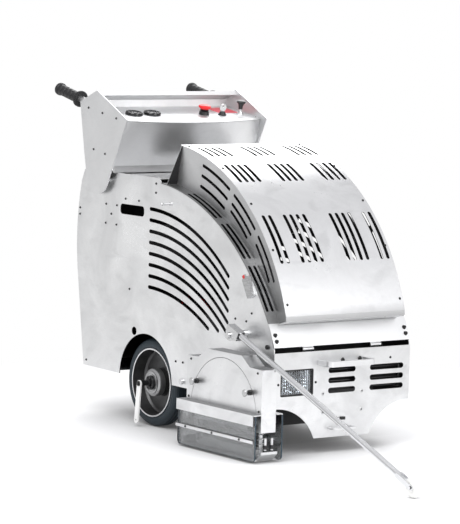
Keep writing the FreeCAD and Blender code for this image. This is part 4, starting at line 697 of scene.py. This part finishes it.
# ---------------------------------------------------------------- front lamp
def lamp_reflector():
    """A rectangular chrome reflector in flutes, its bulb and the black seal round the glass."""
    low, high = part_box("headlight_housing")
    wide, tall = (high.y - low.y) / 2 - 0.004, (high.z - low.z) / 2 - 0.004
    middle = (low + high) / 2
    mouth, deep, bowl = high.x - 0.008, 0.006, 0.029
    columns, rows = 41, 29
    code = bmesh.new()
    grid = []
    for i in range(columns):
        u = -1 + 2 * i / (columns - 1)
        line = []
        for j in range(rows):
            v = -1 + 2 * j / (rows - 1)
            hollow = (1 - abs(u) ** 2.4) * (1 - abs(v) ** 2.4)
            ring = max(0.0, 1 - (u * wide / bowl) ** 2 - (v * tall / bowl) ** 2)
            flute = (0.0010 * (i % 2) + 0.0008 * (j % 4 == 0)) * hollow
            depth = deep * hollow + 0.020 * ring - flute
            line.append(code.verts.new((mouth - depth, middle.y + u * wide, middle.z + v * tall)))
        grid.append(line)
    for i in range(columns - 1):
        for j in range(rows - 1):
            code.faces.new((grid[i][j], grid[i + 1][j], grid[i + 1][j + 1], grid[i][j + 1]))
    bmesh.ops.solidify(code, geom=code.faces[:], thickness=0.001)
    settle("lamp_reflector", code, "mirror", "chassis", 4)
    bulb = bmesh.new()
    place = facing_place(Vector((mouth - deep - 0.020, middle.y, middle.z)), (1, 0, 0))
    turned(bulb, [(0, 0.020), (0.004, 0.0195), (0.0060, 0.017), (0.0068, 0.014), (0.0068, 0.005),
                  (0.0085, 0.003), (0.0085, 0), (0, 0)], place, 48)
    settle("lamp_bulb", bulb, "chrome", "chassis")
    seal = bmesh.new()
    for a, b in (((low.y + 0.0005, low.z + 0.0005), (high.y - 0.0005, low.z + 0.0042)),
                 ((low.y + 0.0005, high.z - 0.0042), (high.y - 0.0005, high.z - 0.0005)),
                 ((low.y + 0.0005, low.z + 0.0042), (low.y + 0.0042, high.z - 0.0042)),
                 ((high.y - 0.0042, low.z + 0.0042), (high.y - 0.0005, high.z - 0.0042))):
        block(seal, (mouth - 0.003, *a), (mouth + 0.0065, *b), 0.0008)
    settle("lamp_seal", seal, "black_plastic", "chassis")


lamp_reflector()


# ---------------------------------------------------------------- guard details
def thumb_screws():
    """Knurled bright heads on black necks, with a black bush against the cover."""
    low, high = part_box("cover_thumb_screws")
    heads, necks = bmesh.new(), bmesh.new()
    radius = (high.z - low.z) / 2
    for x in (low.x + radius, high.x - radius):
        place = facing_place(Vector((x, low.y + 0.015, (low.z + high.z) / 2)), RIGHT)
        turned(heads, [(0, 0.0068), (0.0085, 0.0066), (0.0098, 0.0056), (0.0104, 0.0048), (0.0104, 0.0010),
                       (0.0092, 0), (0, 0)], place, 72)
        for i in range(24):
            spin = place @ Matrix.Rotation(math.radians(15 * i), 4, "Z")
            block(heads, (0.0098, -0.0005, 0.0012), (0.0108, 0.0005, 0.0048), 0, spin)
        turned(necks, [(0, -0.0001), (0.0068, -0.0001), (0.0068, -0.003), (0.0046, -0.0045), (0.0046, -0.0095),
                       (0.0078, -0.0110), (0.0082, -0.0182), (0.0038, -0.0186), (0.0038, -0.0265), (0, -0.0265)],
               place, 48)
    made = settle("thumb_screw_heads", heads, "knob_metal", "cover")
    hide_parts("cover_thumb_screws")
    settle("thumb_screw_necks", necks, "black_plastic", "cover")


thumb_screws()


def skid_buffers():
    """Black rubber stops round the skid's front pins and springs' seats round its guide posts."""
    low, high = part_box("skid_plate")
    y = pivot("blade_spin").y
    code = bmesh.new()
    for shift in (-0.012, 0.012):
        place = Matrix.Translation((high.x - 0.0045, y + shift, 0.030))
        turned(code, [(0.0043, 0.012), (0.0068, 0.012), (0.0078, 0.014), (0.0078, 0.022), (0.0068, 0.024),
                      (0.0043, 0.024)], place, 40, closed=True)
        turned(code, [(0.0043, 0.004), (0.0062, 0.004), (0.0062, 0.008), (0.0043, 0.008)], place, 6, closed=True)
    settle("skid_buffers", code, "black_plastic", "skid")


skid_buffers()


def skid_coils():
    """Two compression springs round the guide posts; the real springs shorten as the skid rises, these keep one
    length.
    """
    low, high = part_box("skid_springs")
    wire, turns, steps, sides = 0.0015, 7, 28, 10
    radius = (high.y - low.y) / 2 - wire
    rise = Vector((0, 0, 1))
    code = bmesh.new()
    for x in (low.x + radius + wire, high.x - radius - wire):
        foot = Vector((x, (low.y + high.y) / 2, low.z + wire))
        rings = []
        for i in range(turns * steps + 1):
            angle = 2 * math.pi * i / steps
            outward = Vector((math.cos(angle), math.sin(angle), 0))
            centre = foot + outward * radius + rise * (high.z - low.z - 2 * wire) * i / (turns * steps)
            rings.append([code.verts.new(centre + wire * (math.cos(turn) * outward + math.sin(turn) * rise))
                          for turn in (2 * math.pi * j / sides for j in range(sides))])
        for near, far in zip(rings, rings[1:]):
            for j in range(sides):
                k = (j + 1) % sides
                code.faces.new((near[j], far[j], far[k], near[k]))
        code.faces.new(rings[0])
        code.faces.new(rings[-1])
    made = settle("skid_coils", code, "zinc_fastener", "skid")
    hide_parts("skid_springs")
    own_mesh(made)


skid_coils()


def pointer_bolt():
    """The black bolt that carries the pointer's wheel, with its nut on the far side of the fork."""
    centre = pivot("pointer_wheel_spin")
    wheel_low, wheel_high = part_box("pointer_wheel")
    near, far = wheel_low.y - 0.0035, wheel_high.y + 0.0035
    code = bmesh.new()
    place = facing_place(Vector((centre.x, near, centre.z)), RIGHT)
    turned(code, [(0, 0.0032), (0.0030, 0.0032), (0.0048, 0.0020), (0.0050, 0), (0, 0)], place, 36)
    turned(code, [(0, near - far), (0.0052, near - far), (0.0052, near - far - 0.003), (0, near - far - 0.003)],
           place, 6)
    settle("pointer_bolt", code, "black_plastic", "pointer", 30)


pointer_bolt()


# ---------------------------------------------------------------- engine bay
def engine():
    """An air-cooled vee twin: ribbed crankcase, finned barrels, heads, rocker covers and fan shroud."""
    low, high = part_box("engine_block")
    crank = pivot("crank_spin")
    centre_y = 0.048
    case = bmesh.new()
    left, right = crank.x - 0.110, crank.x + 0.120
    block(case, (left, centre_y - 0.160, low.z + 0.001), (right, centre_y + 0.130, 0.420), 0.014)
    for k in range(7):
        x = left + 0.025 + k * 0.03
        block(case, (x, centre_y - 0.1645, low.z + 0.02), (x + 0.006, centre_y - 0.155, 0.400), 0.002)
    block(case, (left - 0.0, centre_y - 0.12, low.z + 0.0005), (right, centre_y + 0.10, low.z + 0.014), 0.003)
    turned(case, [(0.0145, 0.062), (0.044, 0.062), (0.046, 0.058), (0.046, 0), (0.0145, 0)],
           facing_place(Vector((crank.x, centre_y - 0.128, crank.z)), RIGHT), 64, closed=True)
    for tilt in (40, -40):
        place = Matrix.Translation((crank.x, centre_y, crank.z)) @ Matrix.Rotation(math.radians(tilt), 4, "Y")
        block(case, (-0.040, -0.085, 0.055), (0.040, 0.065, 0.205), 0.012, place)
        for k in range(11):
            z = 0.098 + k * 0.0095
            block(case, (-0.054, -0.099, z), (0.054, 0.079, z + 0.0035), 0.0012, place, 1)
        block(case, (-0.052, -0.095, 0.204), (0.052, 0.075, 0.232), 0.006, place)
        block(case, (-0.045, -0.085, 0.230), (0.045, 0.065, 0.269), 0.012, place)
        for x in (-0.034, 0.034):
            for y in (-0.07, 0.05):
                turned(case, [(0, 0.2725), (0.0055, 0.2715), (0.0055, 0.266), (0, 0.266)],
                       place @ Matrix.Translation((x, y, -0.003)), 6)
    made = settle("engine_casting", case, "cast_metal", "chassis")
    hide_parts("engine_block")
    shroud = bmesh.new()
    hub = facing_place(Vector((crank.x, centre_y + 0.128, crank.z + 0.010)), (0, 1, 0))
    turned(shroud, [(0, 0), (0.118, 0), (0.120, 0.004), (0.120, 0.044), (0.112, 0.056), (0.100, 0.0605),
                    (0.088, 0.0605), (0.086, 0.050), (0, 0.050)], hub, 96)
    for ring_radius in (0.018, 0.031, 0.044, 0.057, 0.070, 0.083):
        turned(shroud, [(ring_radius - 0.002, 0.056), (ring_radius + 0.002, 0.056), (ring_radius + 0.002, 0.0595),
                        (ring_radius - 0.002, 0.0595)], hub, 72, closed=True)
    for i in range(8):
        spin = hub @ Matrix.Rotation(math.radians(45 * i), 4, "Z")
        block(shroud, (0.014, -0.0018, 0.0525), (0.088, 0.0018, 0.0565), 0.0006, spin)
    settle("engine_shroud", shroud, "black_plastic", "chassis")
    for side, tilt in (("front", 40), ("rear", -40)):
        place = Matrix.Translation((crank.x, centre_y, crank.z)) @ Matrix.Rotation(math.radians(tilt), 4, "Y")
        start = place @ Vector((0.0, -0.097, 0.215))
        knee = place @ Vector((0.0, -0.118, 0.200))
        far = place @ Vector((0.02, -0.112, 0.12))
        hose("plug_lead_" + side, [start, knee, far, Vector((crank.x, centre_y - 0.150, 0.425))], 0.0034,
             "black_plastic", "chassis")


def ancillaries():
    """Air cleaner with a ribbed cover and wing nut, battery with its terminals, and the muffler."""
    low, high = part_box("engine_ancillaries")
    crank = pivot("crank_spin")
    code = bmesh.new()
    centre = Vector((crank.x, 0.03825, 0.640))
    profile = [(0, 0), (0.080, 0), (0.085, 0.004), (0.085, 0.010)]
    for k in range(5):
        z = 0.014 + k * 0.011
        profile += [(0.0815, z), (0.0815, z + 0.003), (0.085, z + 0.005), (0.085, z + 0.009)]
    profile += [(0.085, 0.074), (0.080, 0.081), (0.055, 0.086), (0.020, 0.0865), (0.016, 0.084), (0, 0.084)]
    turned(code, profile, Matrix.Translation(centre), 96)
    block(code, (centre.x - 0.018, centre.y - 0.0025, centre.z + 0.083),
          (centre.x + 0.018, centre.y + 0.0025, centre.z + 0.0895), 0.002)
    made = settle("air_cleaner", code, "black_plastic", "chassis")
    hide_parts("engine_ancillaries")
    battery = bmesh.new()
    a, b = Vector((low.x, -0.01175, 0.166)), Vector((low.x + 0.165, 0.15825, 0.340))
    block(battery, a, (b.x, b.y, b.z - 0.030), 0.004)
    block(battery, (a.x - 0.001, a.y - 0.001, b.z - 0.031), (b.x + 0.001, b.y + 0.001, b.z - 0.006), 0.003)
    block(battery, (a.x + 0.03, a.y + 0.02, b.z - 0.007), (b.x - 0.03, b.y - 0.02, b.z - 0.001), 0.002)
    settle("battery_case", battery, "black_plastic", "chassis")
    posts = bmesh.new()
    for y in (a.y + 0.025, b.y - 0.025):
        turned(posts, [(0, 0.012), (0.008, 0.0115), (0.009, 0), (0, 0)],
               Matrix.Translation((a.x + 0.02, y, b.z - 0.008)), 32)
    settle("battery_posts", posts, "cast_metal", "chassis")
    can = bmesh.new()
    place = facing_place(Vector((high.x - 0.048, -0.05175, 0.400)), (0, 1, 0))
    turned(can, [(0, 0), (0.040, 0), (0.046, 0.003), (0.048, 0.006), (0.048, 0.010), (0.0465, 0.013),
                 (0.0465, 0.105), (0.048, 0.108), (0.048, 0.112), (0.0465, 0.115), (0.0465, 0.207),
                 (0.048, 0.210), (0.048, 0.214), (0.046, 0.217), (0.040, 0.2195), (0, 0.2195)], place, 96)
    settle("muffler_can", can, "cast_metal", "chassis")
    hose("exhaust_pipe", [Vector((high.x - 0.050, 0.02, 0.445)), Vector((high.x - 0.060, 0.01, 0.490)),
                          Vector((high.x - 0.100, 0.0, 0.510)), Vector((high.x - 0.135, 0.0, 0.505))], 0.014,
         "cast_metal", "chassis")
    run = [(a.x + 0.02, b.y - 0.025, b.z + 0.002), (a.x + 0.06, b.y - 0.01, b.z + 0.03),
           (b.x, b.y - 0.02, b.z + 0.01), (b.x + 0.10, b.y - 0.04, b.z - 0.06),
           (crank.x - 0.12, b.y - 0.05, 0.30)]
    hose("battery_cable", [Vector(point) for point in run], 0.005, "red_plastic", "chassis")


def tank():
    """A moulded fuel tank with a seam round its middle and a ribbed filler cap."""
    low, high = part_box("fuel_tank")
    top = high.z - 0.014
    code = bmesh.new()
    block(code, low, (high.x, high.y, top), 0.025, Matrix(), 4)
    middle = (low.z + top) / 2
    block(code, (low.x - 0.0005, low.y - 0.0005, middle - 0.003), (high.x + 0.0005, high.y + 0.0005, middle + 0.003),
          0.0008)
    made = settle("fuel_tank_shell", code, "black_plastic", "chassis")
    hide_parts("fuel_tank")
    cap = bmesh.new()
    place = Matrix.Translation((-0.7332, -0.07175, top))
    turned(cap, [(0, 0.0138), (0.024, 0.0138), (0.0275, 0.0115), (0.0275, 0.0005), (0, 0.0005)], place, 64)
    for i in range(20):
        spin = place @ Matrix.Rotation(math.radians(18 * i), 4, "Z")
        block(cap, (0.0268, -0.0012, 0.001), (0.0285, 0.0012, 0.0112), 0, spin)
    settle("fuel_cap", cap, "black_steel", "chassis")


def cooler():
    """An oil cooler: tubes, closely spaced fins and two end tanks."""
    low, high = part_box("oil_cooler")
    code = bmesh.new()
    block(code, low, (high.x, low.y + 0.018, high.z), 0.003)
    block(code, (low.x, high.y - 0.018, low.z), high, 0.003)
    for k in range(7):
        z = low.z + 0.006 + k * (high.z - low.z - 0.018) / 6
        block(code, (low.x + 0.003, low.y + 0.017, z), (high.x - 0.003, high.y - 0.017, z + 0.004), 0.001)
    count = 56
    for k in range(count):
        y = low.y + 0.020 + k * (high.y - low.y - 0.040) / count
        block(code, (low.x + 0.004, y, low.z + 0.004), (high.x - 0.004, y + 0.0009, high.z - 0.004))
    made = settle("cooler_core", code, "black_steel", "chassis")
    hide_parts("oil_cooler")


engine()
ancillaries()
tank()
cooler()


# ---------------------------------------------------------------- stage, light and camera
REAR_AXLE = Vector((pivot("rear_wheel_right_spin").x, 0.04825, 0.0))
LOOK_AT = Vector((0.35, -0.1, 0.45)) + REAR_AXLE
AZIMUTH, ELEVATION, ROLL = math.radians(53.80079), math.radians(6.30934), math.radians(1.46752)
PAN, TILT = math.radians(0.52046), math.radians(0.66873)
DISTANCE, LENS = 8.8745, 195.96


def camera():
    """The camera looks a little past LOOK_AT, so that it falls low and right of the frame's middle."""
    back = Vector((math.sin(AZIMUTH) * math.cos(ELEVATION), -math.cos(AZIMUTH) * math.cos(ELEVATION),
                   math.sin(ELEVATION)))
    flat = Vector((math.cos(AZIMUTH), math.sin(AZIMUTH), 0))
    lift = back.cross(flat)
    right = math.cos(ROLL) * flat + math.sin(ROLL) * lift
    up = -math.sin(ROLL) * flat + math.cos(ROLL) * lift
    turn = Matrix((right, up, back)).transposed()
    aim = Matrix.Rotation(PAN, 3, "Y") @ Matrix.Rotation(TILT, 3, "X")
    data = bpy.data.cameras.new("camera")
    data.sensor_width = 36
    data.sensor_fit = "AUTO"
    data.lens = LENS
    made = bpy.data.objects.new("camera", data)
    bpy.context.scene.collection.objects.link(made)
    made.matrix_world = Matrix.Translation(LOOK_AT + back * DISTANCE) @ (turn @ aim).to_4x4()
    bpy.context.scene.camera = made


FLOOR_GLOW = 0.06
FLOOR_SIZE = 30


def floor_paper():
    """White paper with a painted contact shadow under the machine, that fades to plain white away from the machine.
    """
    s = Shader("floor_paper")
    tone = s.noise(2.5, 2)
    painted_shadow_ao = s.node("ShaderNodeAmbientOcclusion", Distance=0.45).outputs["AO"]
    paper_tone = s.blend(tone, rgb(0.86, 0.86, 0.865), rgb(0.88, 0.88, 0.885))
    # Painted shadow: the paper turns grey where ambient occlusion finds the machine nearby
    base = s.blend(s.remap(painted_shadow_ao, 0, 1, 0.1, 0.85), rgb(0.3, 0.3, 0.303), paper_tone)
    away = s.vector("LENGTH", s.place)
    paper = s.principled(base, 0.9, 0.0)
    glow = s.node("ShaderNodeEmission", Color=rgb(1, 1, 1), Strength=FLOOR_GLOW).outputs[0]
    lit = s.node("ShaderNodeAddShader")
    s.tree.links.new(paper, lit.inputs[0])
    s.tree.links.new(glow, lit.inputs[1])
    white = s.node("ShaderNodeEmission", Color=rgb(1, 1, 1), Strength=1.0).outputs[0]
    fade = s.node("ShaderNodeMixShader", Fac=s.remap(away, 0, 1, 1.15, 1.9))
    s.tree.links.new(lit.outputs[0], fade.inputs[1])
    s.tree.links.new(white, fade.inputs[2])
    return s.surface(fade.outputs[0])


def stage():
    corners = [(x * FLOOR_SIZE, y * FLOOR_SIZE, 0) for x, y in ((-1, -1), (1, -1), (1, 1), (-1, 1))]
    mesh = bpy.data.meshes.new("floor")
    mesh.from_pydata(corners, [], [(0, 1, 2, 3)])
    floor = bpy.data.objects.new("floor", mesh)
    floor.location.z = -0.0006
    bpy.context.scene.collection.objects.link(floor)
    mesh.materials.append(floor_paper())


def softbox(name, place, target, width, height, power):
    data = bpy.data.lights.new(name, "AREA")
    data.shape = "RECTANGLE"
    data.size, data.size_y, data.energy = width, height, power
    made = bpy.data.objects.new(name, data)
    bpy.context.scene.collection.objects.link(made)
    made.location = place
    made.rotation_euler = (Vector(target) - Vector(place)).to_track_quat("-Z", "Y").to_euler()


def world():
    """Plain white behind the machine; for everything else a soft room, lighter in front and above."""
    made = bpy.data.worlds.new("studio")
    bpy.context.scene.world = made
    made.use_nodes = True
    tree = made.node_tree
    tree.nodes.clear()
    out = tree.nodes.new("ShaderNodeOutputWorld")
    shade = tree.nodes.new("ShaderNodeBackground")
    place = tree.nodes.new("ShaderNodeTexCoord")
    split = tree.nodes.new("ShaderNodeSeparateXYZ")
    path = tree.nodes.new("ShaderNodeLightPath")
    mix = tree.nodes.new("ShaderNodeMix")
    mix.data_type = "RGBA"
    tree.links.new(place.outputs["Generated"], split.inputs[0])

    def ramp(axis, stops):
        made_ramp = tree.nodes.new("ShaderNodeValToRGB")
        shifted = tree.nodes.new("ShaderNodeMapRange")
        shifted.inputs["From Min"].default_value = -1
        tree.links.new(split.outputs[axis], shifted.inputs["Value"])
        tree.links.new(shifted.outputs[0], made_ramp.inputs[0])
        while len(made_ramp.color_ramp.elements) < len(stops):
            made_ramp.color_ramp.elements.new(0.5)
        for element, (position, tone) in zip(made_ramp.color_ramp.elements, stops):
            element.position = position
            element.color = (tone, tone, tone * 1.01, 1)
        return made_ramp.outputs[0]

    height = ramp("Z", ((0.0, 0.5), (0.5, 0.55), (0.62, 0.78), (1.0, 0.95)))
    ahead = ramp("X", ((0.0, 0.82), (0.45, 0.9), (0.8, 1.1), (1.0, 1.2)))
    product = tree.nodes.new("ShaderNodeMix")
    product.data_type = "RGBA"
    product.blend_type = "MULTIPLY"
    product.inputs["Factor"].default_value = 1.0
    tree.links.new(height, product.inputs[6])
    tree.links.new(ahead, product.inputs[7])
    tree.links.new(path.outputs["Is Camera Ray"], mix.inputs["Factor"])
    tree.links.new(product.outputs[2], mix.inputs[6])
    mix.inputs[7].default_value = (1, 1, 1, 1)
    tree.links.new(mix.outputs[2], shade.inputs["Color"])
    tree.links.new(shade.outputs[0], out.inputs["Surface"])


def studio():
    world()
    softbox("key_light", (1.2, -2.4, 3.4), (0, 0, 0.3), 2.4, 2.4, 95)
    softbox("front_light", (4.2, 0.8, 1.8), (0.2, 0, 0.4), 2.4, 2.2, 80)
    softbox("rear_light", (-2.8, 1.8, 2.8), (0, 0, 0.3), 2.2, 2.2, 60)
    bpy.context.scene.view_settings.view_transform = "Standard"
    bpy.context.scene.view_settings.look = "None"


camera()
stage()
studio()
